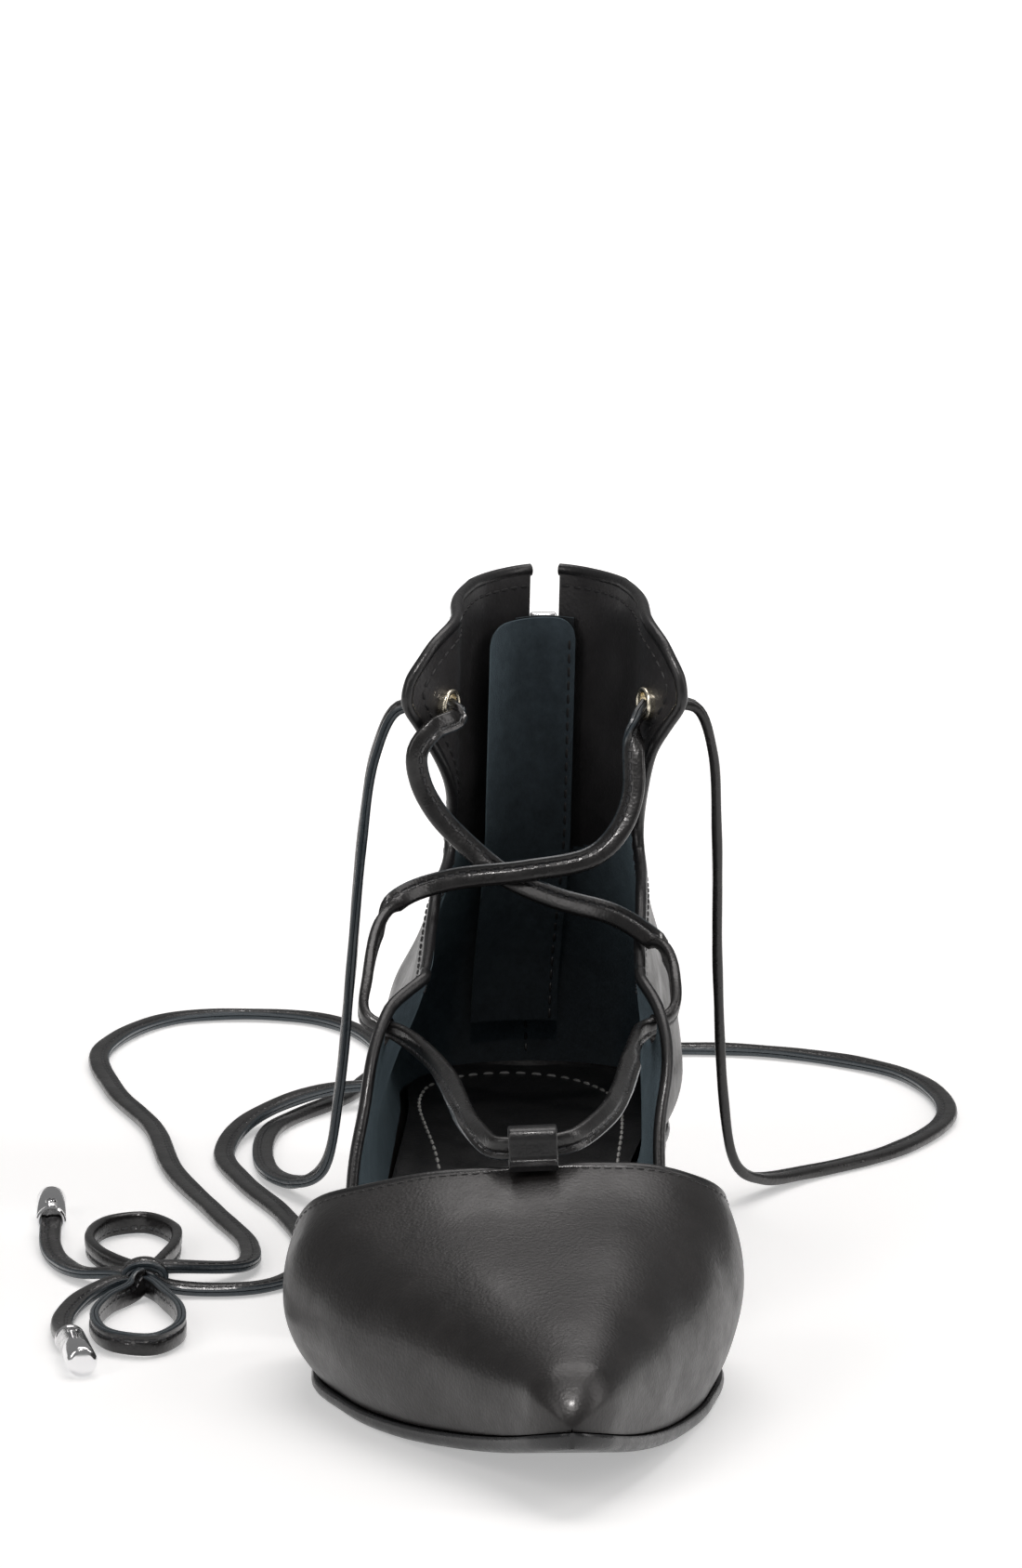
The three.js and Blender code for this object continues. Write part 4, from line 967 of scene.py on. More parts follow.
# Middle of the wall at a place on the back piece, and the direction outward from it
def wall_frame(side, place):
    y, z = place
    centre = quarter_point(side, np.array(y), np.array(z), WALL / 2)
    ahead = quarter_point(side, np.array(y - 1.0), np.array(z), WALL / 2) - centre
    above = quarter_point(side, np.array(y), np.array(z + 1.0), WALL / 2) - centre
    out = unit(np.cross(ahead, above))
    if out[0] * side < 0:
        out = -out
    return centre, out


def cut_hole(piece, centre, axis, radius):
    """A round hole through a piece's wall."""
    mesh = bpy.data.meshes.new("hole")
    tool = bmesh.new()
    bmesh.ops.create_cone(tool, cap_ends=True, segments=40, radius1=radius * MM, radius2=radius * MM,
                          depth=HOLE_CUT_LENGTH * MM)
    tool.to_mesh(mesh)
    tool.free()
    cutter = bpy.data.objects.new("hole", mesh)
    bpy.context.scene.collection.objects.link(cutter)
    cutter.location = world(centre)
    cutter.rotation_mode = "QUATERNION"
    cutter.rotation_quaternion = Vector(axis).to_track_quat("Z", "Y")
    holes = piece.modifiers.new("hole", "BOOLEAN")
    holes.operation = "DIFFERENCE"
    holes.solver = "EXACT"
    holes.object = cutter
    evaluated = piece.evaluated_get(bpy.context.evaluated_depsgraph_get())
    cut = bpy.data.meshes.new_from_object(evaluated)
    piece.modifiers.clear()
    bpy.data.objects.remove(cutter)
    piece.data = cut
    cut.set_sharp_from_angle(angle=SHARP_ANGLE)


def turned(profile, centre, axis, sides=48):
    """Points and faces of a closed profile turned round an axis. profile: rows of radius and height."""
    axis = unit(np.asarray(axis, float))
    first = unit(np.cross(axis, [0, 0, 1] if abs(axis[2]) < 0.9 else [1, 0, 0]))
    second = np.cross(axis, first)
    turn = np.arange(sides) * 2 * math.pi / sides
    spoke = np.cos(turn)[:, None] * first + np.sin(turn)[:, None] * second
    profile = np.asarray(profile, float)
    rings = centre + profile[None, :, :1] * spoke[:, None] + profile[None, :, 1:] * axis
    index = np.arange(sides * len(profile)).reshape(sides, len(profile))
    right = np.roll(index, -1, axis=0)
    faces = np.stack([index, np.roll(index, -1, axis=1), np.roll(right, -1, axis=1), right], axis=-1)
    return rings.reshape(-1, 3), faces.reshape(-1, 4).tolist()


def make_eyelet(side, name):
    centre, axis = wall_frame(side, EYELET_PLACE)
    reach = WALL / 2 + EYELET_CLEARANCE
    middle = (EYELET_HOLE_RADIUS + EYELET_RADIUS) / 2
    wide = (EYELET_RADIUS - EYELET_HOLE_RADIUS) / 2
    turn = np.linspace(0, math.pi, 9)
    outer_lip = [(middle + wide * math.cos(t), reach + EYELET_FLANGE * math.sin(t)) for t in turn]
    inner_lip = [(2 * middle - r, -height) for r, height in outer_lip]
    barrel = (EYELET_HOLE_RADIUS + GAP / 2, 0)
    profile = [*outer_lip, barrel, *inner_lip, (EYELET_HOLE_RADIUS + 2 * GAP, 0)]
    add_mesh(f"eyelet_ring_{name}", *turned(profile, centre, axis), pale_gold, "metal", [f"eyelet_{name}"])


# Sole, heel and insole
STACK_COLUMNS = 41
# Layers of the sole's edge, from below: how far in, and height over the sole's underside
SOLE_EDGE = [
    (2.4, 0),
    (1.3, 0.2),
    (0.5, 0.75),
    (0.1, 1.4),
    (0.0, 2.0),
    (0.05, SOLE_THICKNESS - 0.5),
    (0.35, SOLE_THICKNESS - 0.08),
    (0.9, SOLE_THICKNESS),
]
HEEL_EDGE_ROUNDING = 0.3


def plan_grid(stations, half, height, shares):
    """A sheet across the sole's plan. half, height: its half-width and height at each station."""
    x = sole_plan(stations)[0][:, None] + shares[None, :] * half[:, None]
    return np.stack([x, stations[:, None] + 0 * x, height[:, None] + 0 * x], axis=-1)


def eased(count):
    return np.sin(np.linspace(-1, 1, count) * math.pi / 2)


def stations_between(low, high, count):
    return low + (high - low) * (1 - np.cos(np.linspace(0, 1, count) * math.pi)) / 2


def outline(grid):
    return np.concatenate([grid[:, 0], grid[-1, 1:], grid[::-1, -1][1:], grid[0, ::-1][1:-1]])


def stacked(stations, base, layers):
    """A plate whose edge follows layers of inset and height over a base, from its underside up to its top."""
    shares = eased(STACK_COLUMNS)
    grids = []
    for inset, height in layers:
        half = np.maximum(LEAST_HALF, sole_half(stations, 0) - inset)
        grids.append(plan_grid(stations, half, base + height, shares))
    bottom, top = grids[0], grids[-1]
    rows, columns = bottom.shape[:2]
    count = rows * columns
    rings = np.array([outline(grid) for grid in grids])
    faces = grid_faces(rows, columns)[:, ::-1].tolist() + grid_faces(rows, columns, count).tolist()
    faces += ring_faces(*rings.shape[:2], 2 * count)
    return np.concatenate([some.reshape(-1, 3) for some in (bottom, top, rings)]), faces


def make_sole():
    end = LENGTH - SOLE_SET_BACK
    stations = stations_between(0, end, 260)
    points, faces = stacked(stations, sole_bottom(stations), SOLE_EDGE)
    add_mesh("outsole_rubber", points, faces, sole_rubber, "sole", ["outsole"])
    along = np.sin(np.linspace(0, 1, 70) * math.pi / 2)
    stations = HEEL_BREAST + (end - HEEL_INSET - HEEL_BREAST) * along
    foot, head = LIFT_THICKNESS + GAP, HEEL_HEIGHT - GAP
    block = [(HEEL_INSET + HEEL_TAPER * (1 - u), mix(foot, head, u)) for u in np.linspace(0, 1, 10)]
    for k in (0, -1):
        block[k] = (block[k][0] + HEEL_EDGE_ROUNDING, block[k][1])
    points, faces = stacked(stations, 0 * stations, block)
    add_mesh("heel_stack", points, faces, sole_rubber, "sole", ["heel_block"])
    inset = HEEL_INSET + HEEL_TAPER
    lift = [(inset + 0.6, 0), (inset + 0.15, 0.12), (inset, 0.6), (inset, LIFT_THICKNESS - 0.3),
            (inset + 0.25, LIFT_THICKNESS)]
    points, faces = stacked(stations, 0 * stations, lift)
    add_mesh("heel_top_piece", points, faces, heel_rubber, "sole", ["heel_lift"])


SOCK_RELIEF = [
    ((-22, 116, 7), (-16, 132, 7), 1.6, 0.5),
    ((-19, 104, 7), (-13, 122, 7), 1.5, -0.4),
    ((-24, 128, 7), (-20, 144, 8), 1.4, 0.45),
    ((14, 150, 9), (18, 172, 12), 1.6, 0.35),
]
# The sock's curled outer edge: where it starts, is full, still full and ends, its height and its width
CURL_STATIONS = (96, 112, 150, 176)
CURL_HEIGHT = 1.1
CURL_WIDTH = 3.2
SOCK_SPREAD = 1.5
RIM_HEIGHT = 0.5
RIM_WIDTH = 2.2
SOCK_HOLLOW = 0.35
# Line of the sock's stitches, on its face
SOCK_STITCH_LINE = [
    (-23.0, 90), (-19.8, 115), (-17.4, 145), (-17.0, 170), (-17.9, 190), (-19.3, 205), (-20.3, 221),
    (-19.7, 231), (-17.6, 240), (-10.4, 249.1), (-3.2, 251.3), (4.6, 249.6), (10.6, 245.5), (16.5, 235),
    (18.8, 222), (18.6, 204), (17.0, 185), (15.4, 160), (15.6, 130), (18.4, 95),
]
SOCK_STITCH = (2.1, 1.1, 0.34)


def make_insole():
    inset = FEATHER_INSET + WALL + 3 * GAP
    stations = stations_between(NOSE_SET_BACK + inset, LENGTH - SOLE_SET_BACK - inset, 200)
    shares = eased(61)
    foot = feather_height(stations)
    wide = np.maximum(LEAST_HALF, sole_half(stations, inset - SOCK_SPREAD))
    top = plan_grid(stations, wide, foot + INSOLE_THICKNESS, shares)
    bottom = plan_grid(stations, np.maximum(LEAST_HALF, sole_half(stations, inset)), foot, shares)
    edge = (1 - np.abs(shares)[None, :]) * wide[:, None]
    rim = np.exp(-(edge / RIM_WIDTH) ** 2)
    start, full, still_full, end = CURL_STATIONS
    curl = smooth_step(start, full, stations) * smooth_step(end, still_full, stations)
    top[..., 2] += RIM_HEIGHT * rim - SOCK_HOLLOW * (1 - rim) * smooth_step(0, 14, edge)
    top[..., 2] += CURL_HEIGHT * curl[:, None] * np.exp(-(edge / CURL_WIDTH) ** 2) * (shares < 0)
    top[..., 2] += relief(top, SOCK_RELIEF) + ripple(top, 0.12)
    points, faces, _ = shell(top, bottom)
    add_mesh("insole_sock", points, faces, sock_leather, "sock_leather", ["insole"])
    line = evenly(centripetal([(x, y, 0) for x, y in SOCK_STITCH_LINE])[0], 0.5)
    line[:, 2] = feather_height(line[:, 1]) + INSOLE_THICKNESS
    line, normals = Surface(top).near(smooth_line(line, 12))
    normals *= np.sign(normals[:, 2:])
    points, faces = thread_stitches(line, normals, *SOCK_STITCH)
    add_mesh("insole_stitches", points, faces, white_thread, "sock_leather")


# Zip, guard and slider
TOOTH_PITCH = 1.5
TOOTH_DEPTH = 0.9
TOOTH_LINE = [(2.5, 0), (2.1, -0.25), (0.3, -0.25), (-0.5, 0)]
CHAIN_DEPTH = 1.6
EYE_WALL = 0.6
GUARD_CORNER = 3.5
GUARD_CURL = 1.2
# Stitches that close the lining below the zip: half-length and height of the line across, ends of the seam
ACROSS_HALF = 3.8
ACROSS_HEIGHT = 29.6
SEAM_ENDS = (29.4, 22.6)
FORWARDS = (0, -1, 0)
BACKWARDS = (0, 1, 0)


def make_zip():
    depth = WALL + LINING_CLEARANCE
    z = np.linspace(TAPE_FOOT, TAPE_TOP, 90)[:, None]
    aside = np.linspace(-TAPE_WIDTH / 2, TAPE_WIDTH / 2, 40)[None, :]
    near, far = [seam_point(aside + 0 * z, z + 0 * aside, d) for d in (depth, depth + TAPE_THICKNESS)]
    points, faces, _ = shell(near, far)
    add_mesh("zip_tape", points, faces, tape_cloth, "zip_tape", ["zip"])
    heights = np.arange(SLOT_FOOT + 1.2, CHAIN_TOP, TOOTH_PITCH / 2)
    parts = []
    for i, height in enumerate(heights):
        side = 1 if i % 2 else -1
        seat = seam_point(np.array(0.0), np.array(height), TOOTH_DEPTH)
        line = seat + np.array([(side * x, y, 0) for x, y in TOOTH_LINE])
        parts.append(sweep(line, level(BACKWARDS, line), round_section(0.52, 0.5, 8))[:2])
    chain = seam_point(0 * heights, heights, CHAIN_DEPTH)
    parts.append(sweep(chain, level(BACKWARDS, chain), flat_section(2.4, 0.4, 0.3))[:2])
    add_mesh("zip_chain", *joined(parts), dark_metal, "zip_tape")


def make_guard():
    near = WALL + LINING_CLEARANCE + TAPE_THICKNESS + 2 * GAP
    u = np.linspace(0, 1, 120)[:, None]
    v = np.linspace(0, 1, 60)[None, :]
    width = GUARD_FREE_SIDE + GUARD_SEWN_SIDE
    into_corner = 1 - np.clip(np.minimum(v, 1 - v) * width / GUARD_CORNER, 0, 1)
    drop = GUARD_CORNER * (1 - np.sqrt(np.clip(1 - into_corner ** 2, 0, 1)))
    z = GUARD_FOOT + u * (TAPE_TOP - drop - GUARD_FOOT)
    aside = -GUARD_FREE_SIDE + v * width + 0 * z
    waves = (0.55 + 0.45 * np.sin(7 * u + 0.6)) * smooth_step(0, 0.15, u)
    face, back = seam_point(aside, z, near + GUARD_THICKNESS), seam_point(aside, z, near + GAP)
    for sheet in (face, back):
        sheet[..., 1] -= GUARD_CURL * smooth_step(0.35, 0, v) * waves
    points, faces, _ = shell(face, back)
    add_mesh("guard_flap", points, faces, suede_lining, "suede", ["zip_guard"])
    edge_stitches("guard_stitches", Surface(face), face[:, -1], lambda places: level(FORWARDS, places), 1.5,
                  "suede")


def make_back_seam():
    """Stitches that close the lining below the zip: a short line across and the seam down to the sock."""
    across = np.linspace(-ACROSS_HALF, ACROSS_HALF, 20)
    down = np.linspace(*SEAM_ENDS, 16)
    parts = []
    for line in (seam_point(across, 0 * across + ACROSS_HEIGHT, WALL), seam_point(0 * down, down, WALL)):
        parts.append(thread_stitches(line, level(FORWARDS, line), 1.5, 0.6, 0.3))
    add_mesh("back_seam_stitches", *joined(parts), dark_thread, "suede")


# Rounded edge of a block: rise and inset as shares of its rounding
BLOCK_EDGE = ((0, 0.7), (0.3, 0.25), (1, 0))


def rounded_block(size, centre, rounding):
    """A block with rounded edges, as points and faces."""
    half = np.array(size, float) / 2
    section = flat_section(half[0], half[1], rounding)
    heights = [(rounding * up - half[2], rounding * inset) for up, inset in BLOCK_EDGE]
    heights += [(-height, inset) for height, inset in reversed(heights)]
    rings = []
    for height, inset in heights:
        scale = 1 - inset / half[:2]
        rings.append(np.column_stack([section * scale, np.full(len(section), height)]))
    return capped_rings(np.array(rings) + centre)


def disc(inner, outer, half, bevel, centre, sides):
    """A disc or ring with bevelled outer edges, across the shoe."""
    profile = [(inner, -half), (outer - bevel, -half), (outer, bevel - half), (outer, half - bevel),
               (outer - bevel, half), (inner, half)]
    return turned(profile, centre, (1, 0, 0), sides)


def make_slider():
    x, y, z = seam_point(np.array(0.0), np.array(float(SLIDER_HEIGHT)), 0)
    pin_y = y + SLIDER_THICKNESS + LUG_RADIUS
    plate = (SLIDER_WIDTH, SLIDER_THICKNESS, SLIDER_LENGTH)
    parts = [rounded_block(plate, (x, y + SLIDER_THICKNESS / 2, z), 0.6)]
    lug_out = PULL_EYE_WIDTH / 2 + PIN_CLEARANCE + LUG_THICKNESS / 2
    neck = (LUG_THICKNESS, LUG_RADIUS + SLIDER_THICKNESS / 2, 2 * LUG_RADIUS)
    for side in (-1, 1):
        lug_x = x + side * lug_out
        parts.append(disc(0.01, LUG_RADIUS, LUG_THICKNESS / 2, 0.2, np.array([lug_x, pin_y, z]), 28))
        parts.append(rounded_block(neck, (lug_x, y + SLIDER_THICKNESS / 2 + neck[1] / 2, z), 0.2))
    pin_at = np.array([x, pin_y, z])
    pin = [(0.01, -lug_out), (PIN_RADIUS, -lug_out), (PIN_RADIUS, lug_out), (0.01, lug_out)]
    parts.append(turned(pin, pin_at, (1, 0, 0), 20))
    add_mesh("slider_body", *joined(parts), chrome, "metal", ["zip_slider"])
    eye = PIN_RADIUS + PIN_CLEARANCE
    top = LUG_RADIUS + 2
    tab = (PULL_WIDTH, PULL_THICKNESS, PULL_LENGTH - top)
    neck = (PULL_EYE_WIDTH, PULL_THICKNESS * 0.9, top + 1.2 - eye)
    parts = [
        disc(eye, eye + EYE_WALL, PULL_EYE_WIDTH / 2, 0.15, pin_at, 28),
        rounded_block(neck, (x, pin_y, z - eye - neck[2] / 2), 0.3),
        rounded_block(tab, (x, pin_y, z - top - tab[2] / 2), 0.5),
    ]
    add_mesh("pull_tab", *joined(parts), chrome, "metal", ["zip_pull"], body="pull")


# Lace loop on the throat
LOOP_STITCH = (1.3, 0.6, 0.2)
LOOP_STITCH_INSET = 1.1


def throat_edge(across):
    return vamp_point(np.array(across), topline_station(np.array(across)), 0)


def make_lace_loop():
    low, high = -0.9, 0.0
    for _ in range(SETTLE_STEPS):
        middle = (low + high) / 2
        if throat_edge(middle)[0] < LOOP_PLACE:
            low = middle
        else:
            high = middle
    edge = throat_edge(low)
    aside = throat_edge(low + 0.05) - edge
    slope = math.atan2(aside[2], aside[0])
    half = LOOP_THICKNESS / 2
    front = -LOOP_HOLE / 2 - half
    back = LOOP_HOLE / 2 + half
    foot = 2 * GAP
    top = foot + LOOP_HEIGHT - half
    rows = [(front - LOOP_FOOT, foot - LOOP_FOOT_DROP + half), (front - 0.5, foot + half),
            (front - 0.02, foot + 1.5), (front, foot + 3), (front, top - LOOP_BEND),
            (front + 0.45, top - 0.25), (front + 1.3, top), (back - 1.3, top), (back - 0.45, top - 0.25),
            (back, top - LOOP_BEND), (back, foot + 2), (back, foot - LOOP_FOOT)]
    line = evenly(centripetal([(0, y, z) for y, z in rows], 8)[0], 0.35)
    c, s = math.cos(slope), math.sin(slope)
    turn = np.array([[c, 0, -s], [0, 1, 0], [s, 0, c]])
    line = line @ turn.T + edge
    facing = unit(np.cross(unit(np.gradient(line, axis=0)), turn @ [1, 0, 0]))
    points, faces, _ = sweep(line, facing, flat_section(LOOP_WIDTH / 2, half, 0.45, 5))
    add_mesh("throat_loop", points, faces, binding_leather, "upper_leather", ["lace_loop"])
    line, wide, normal = [rows[4:-6] for rows in (line, *frames(line, facing))]
    for side, name in ((-1, "lateral"), (1, "medial")):
        at = line + wide * side * (LOOP_WIDTH / 2 - LOOP_STITCH_INSET) + normal * half
        points, faces = thread_stitches(at, normal, *LOOP_STITCH)
        add_mesh(f"throat_loop_stitches_{name}", points, faces, dark_thread, "upper_leather")


# Lace. Rows of a route: x, y as a share of the length, z, and the way the lace's flat side faces
TOE = (0, -1, 0.25)
LEVEL_TOE = (0, -1, 0)
UP = (0, 0, 1)
OUT_LATERAL = (-1, 0, 0)
OUT_MEDIAL = (1, 0, 0)
FLOOR = LACE_THICKNESS / 2 + 0.3
ON_EDGE = LACE_WIDTH / 2 + 0.1


def route(rows):
    return [(x, LENGTH * at, z, face) for x, at, z, face in rows]


THROAT_ROUTE = route([
    (-25.9, 0.5878, 51.8, OUT_LATERAL),
    (-20.5, 0.5382, 50.5, OUT_LATERAL),
    (-17.2, 0.4733, 49.6, TOE),
    (-15.6, 0.4122, 48.8, TOE),
    (-13.8, 0.3626, 48.0, TOE),
    (-9.8, 0.3206, 46.7, LEVEL_TOE),
    (-7.0, 0.3160, 46.8, LEVEL_TOE),
    (-2.8, 0.3156, 47.0, LEVEL_TOE),
    (1.4, 0.3164, 47.4, LEVEL_TOE),
    (4.8, 0.3229, 47.9, LEVEL_TOE),
    (10.8, 0.3626, 49.6, TOE),
    (14.4, 0.4198, 50.8, TOE),
    (16.8, 0.4885, 51.6, TOE),
    (18.6, 0.5496, 52.2, OUT_MEDIAL),
    (20.5, 0.5840, 52.2, OUT_MEDIAL),
])
CROSSING_OVER = route([
    (-31.9, 0.5992, 54.0, OUT_LATERAL),
    (-31.4, 0.6298, 60.0, OUT_LATERAL),
    (-29.0, 0.6794, 66.5, OUT_LATERAL),
    (-24.4, 0.7176, 70.4, TOE),
    (-15.2, 0.7405, 72.3, TOE),
    (-0.4, 0.7481, 73.6, TOE),
    (12.8, 0.7557, 76.0, TOE),
    (18.2, 0.7672, 81.0, TOE),
    (20.6, 0.7786, 87.0, TOE),
    (20.8, 0.7901, 94.5, TOE),
    (21.2, 0.8034, 99.5, OUT_MEDIAL),
])
CROSSING_UNDER = route([
    (26.1, 0.5992, 54.5, OUT_MEDIAL),
    (26.8, 0.6260, 59.6, OUT_MEDIAL),
    (25.8, 0.6565, 62.4, OUT_MEDIAL),
    (22.9, 0.6832, 64.2, TOE),
    (16.1, 0.7176, 66.7, TOE),
    (5.6, 0.7405, 68.6, TOE),
    (-4.0, 0.7595, 71.9, TOE),
    (-11.9, 0.7695, 78.0, TOE),
    (-17.2, 0.7748, 83.6, TOE),
    (-20.4, 0.7771, 89.8, TOE),
    (-20.9, 0.7771, 95.5, TOE),
    (-17.8, 0.7824, 99.6, TOE),
    (-13.2, 0.7992, 101.0, TOE),
])
TIE_LATERAL = route([
    (-20.0, 0.8176, 102.6, UP),
    (-24.6, 0.8198, 101.6, (-0.6, 0, 0.8)),
    (-28.6, 0.8244, 93, OUT_LATERAL),
    (-31.2, 0.8321, 76, OUT_LATERAL),
    (-33.4, 0.8397, 50, OUT_LATERAL),
    (-35.8, 0.8473, 24, OUT_LATERAL),
    (-38.4, 0.8588, 9, (-1, 0, 0.5)),
    (-42.6, 0.8817, 4.0, (-0.2, 0, 1)),
    (-49.0, 0.9466, FLOOR + 0.3, UP),
    (-48.0, 1.0878, FLOOR, UP),
    (-32.0, 1.2023, FLOOR, UP),
    (-24.0, 1.3359, FLOOR, UP),
    (-38.0, 1.4580, FLOOR, UP),
    (-66.0, 1.4656, FLOOR, UP),
    (-82.0, 1.3588, FLOOR, UP),
    (-80.0, 1.2214, FLOOR, UP),
    (-72.0, 1.0916, FLOOR, UP),
    (-68.0, 0.9542, FLOOR, UP),
    (-60.0, 0.8244, FLOOR, UP),
    (-54.0, 0.7252, FLOOR, UP),
    (-56.0, 0.6527, FLOOR + 1, UP),
    (-69.1, 0.6221, 4.4, UP),
])
TIE_MEDIAL = route([
    (28.6, 0.8176, 102.6, UP),
    (33.2, 0.8198, 101.6, (0.6, 0, 0.8)),
    (36.4, 0.8244, 93, OUT_MEDIAL),
    (37.4, 0.8321, 76, OUT_MEDIAL),
    (37.8, 0.8397, 50, OUT_MEDIAL),
    (39.0, 0.8473, 24, OUT_MEDIAL),
    (41.4, 0.8588, 9, (1, 0, 0.5)),
    (45.8, 0.8817, 4.0, (0.2, 0, 1)),
    (56.0, 0.9313, FLOOR + 0.3, UP),
    (76.0, 1.0076, FLOOR, UP),
    (88.0, 1.1221, FLOOR, UP),
    (80.0, 1.2595, FLOOR, UP),
    (52.0, 1.3359, FLOOR, UP),
    (22.0, 1.3359, FLOOR, UP),
    (-1.0, 1.2748, FLOOR + 0.3, UP),
    (-18.0, 1.2099, 3.0, UP),
    (-38.0, 1.1565, 4.8, UP),
    (-52.0, 1.0992, 3.0, UP),
    (-58.0, 1.0115, FLOOR, UP),
    (-54.0, 0.9160, FLOOR, UP),
    (-47.0, 0.8206, FLOOR, UP),
    (-43.0, 0.7252, FLOOR, UP),
    (-45.0, 0.6412, FLOOR, UP),
    (-54.0, 0.6031, FLOOR, UP),
    (-69.1, 0.6008, 2.0, UP),
])
# The bow, as offsets from its knot
BOW_LOOP_FRONT = [
    (-2, -7.4), (-7, -18), (-9.5, -32), (-6, -45), (1, -48), (6, -40), (6.5, -26), (3.8, -14), (1.8, -7.4),
]
BOW_LOOP_BACK = [
    (-2, 7.4), (-8, 17), (-10.5, 30), (-7, 42), (0, 45), (5.5, 37), (6, 25), (3.6, 14), (1.6, 7.4),
]
BOW_END_FRONT = [(-4.9, -3, 3.2), (-11, -9, 2), (-15, -21, FLOOR), (-15.5, -34, 1.6), (-14, -45, 3)]
BOW_END_BACK = [(-4.9, 3, 3.2), (-11.5, 8, 2), (-16, 19, FLOOR), (-18, 31, 1.6), (-18, 44, 3)]


FOLD_RADIUS = 0.75
LACE_STEP = 1.1
# How far a hole draws the lace in, as a share of its width, and along how much of it
HOLE_PINCH = 0.22
PINCH_REACH = 3.5
# The small cross-slotted screw on each lace tip
SCREW_PLACE = 4.6
SCREW_HEAD = [(0.01, -0.5), (1.1, -0.5), (1.1, 0.12), (0.95, 0.3), (0.5, 0.36), (0.01, 0.38)]
SCREW_SLOT = (1.5, 0.26, 0.2)
SCREW_SLOT_HEIGHT = 0.33
SCREW_TURN = 0.5
KNOT_BAND = 0.9


# The lace's section: a folded strip with a groove along its stitches and a split raw edge
def folded_section():
    w, t = LACE_WIDTH / 2, LACE_THICKNESS / 2
    groove = GROOVE_PLACE
    turn = np.linspace(1.5 * math.pi, 0.5 * math.pi, 7)
    fold = [(-w + FOLD_RADIUS + FOLD_RADIUS * math.cos(a), 0.97 * t * math.sin(a)) for a in turn]
    top = [(-0.9, t), (0.1, 0.97 * t), (groove - 0.4, 0.88 * t), (groove, 0.66 * t), (groove + 0.4, 0.86 * t),
           (w - 0.3, 0.86 * t), (w, 0.55 * t)]
    edge = [(w - 0.03, 0.1 * t), (w - 0.25, 0.0), (w - 0.03, -0.1 * t)]
    under = [(w, -0.55 * t), (w - 0.3, -0.86 * t), (groove, -0.8 * t), (-0.9, -t)]
    return np.array([*fold, *top, *edge, *under])


def lace(rows, narrow, waves):
    """The line and mesh of a ribbon along a route. narrow: places where a hole draws it in."""
    line, places = centripetal([row[:3] for row in rows])
    facings = np.array([row[3] for row in rows], float)
    line, facing = evenly(line, LACE_STEP, sampled(facings, np.arange(len(rows)), places))
    facing = unit(facing)
    s = arc_lengths(line)
    scale = np.tile([LACE_DRAW, 1.0], (len(line), 1))
    for place in narrow:
        away = np.linalg.norm(line - np.array(place), axis=1)
        scale[:, 0] *= 1 - HOLE_PINCH * np.exp(-(away / PINCH_REACH) ** 2)
    scale[:, 1] *= 1 + 0.05 * np.sin(s * 0.35) * np.sin(s * 0.11 + 1)
    twist = waves * (np.sin(s * 0.19 + 0.5) + 0.6 * np.sin(s * 0.083))
    facing = unit(facing + frames(line, facing)[0] * twist[:, None])
    return line, sweep(line, facing, folded_section(), scale)


def cord(name, rows, narrow, stands_for):
    line, (points, faces, uvs) = lace(rows, narrow, 0.04)
    piece = add_mesh(name, points, faces, strip_leather, "lace_leather", stands_for, uvs=uvs)


def bow_rows(offsets, on_edge):
    """Rows of a route from offsets to the knot. on_edge: the lace stands on its edge and faces outwards."""
    rows = []
    middle = np.mean([row[:2] for row in offsets], axis=0)
    for row in offsets:
        x, y = KNOT_PLACE[0] + row[0], KNOT_PLACE[1] + row[1]
        if on_edge:
            rows.append((x, y, ON_EDGE, (row[0] - middle[0], row[1] - middle[1], 0)))
        else:
            rows.append((x, y, row[2], UP))
    return rows


def make_aglet(name, offsets, stands_for):
    before, end = np.array(offsets[-2][:2], float), np.array(offsets[-1][:2], float)
    ahead = np.append(unit(end - before), 0)
    mouth = np.array([*(np.array(KNOT_PLACE) + end), AGLET_RADIUS + 0.1]) + ahead * GAP
    r, long = AGLET_RADIUS, AGLET_LENGTH
    profile = [(2.3, -0.2), (r - 0.3, -0.2), (r, 0.1), (r, 1.1), (r - 0.22, 1.35), (r - 0.22, 1.6), (r, 1.85)]
    profile += [(r, long - 1.2), (r - 0.12, long - 0.6), (r - 0.45, long - 0.2), (r - 1.0, long)]
    profile += [(0.02, long), (0.02, 0.6), (2.1, 0.6)]
    screw_at = mouth + ahead * SCREW_PLACE + np.array([0, 0, r])
    parts = [turned(profile, mouth, ahead, 56), turned(SCREW_HEAD, screw_at, (0, 0, 1), 28)]
    tube = add_mesh(name, *joined(parts), chrome, "metal", [stands_for])
    slots = []
    for angle in (SCREW_TURN, SCREW_TURN + math.pi / 2):
        points, faces = rounded_block(SCREW_SLOT, (0, 0, 0), 0.06)
        c, s = math.cos(angle), math.sin(angle)
        turn = np.array([[c, -s, 0], [s, c, 0], [0, 0, 1]])
        slots.append((points @ turn.T + screw_at + np.array([0, 0, SCREW_SLOT_HEIGHT]), faces))
    cross = add_mesh(f"{name}_screw_cross", *joined(slots), dark_metal, "metal")
    return [tube, cross]


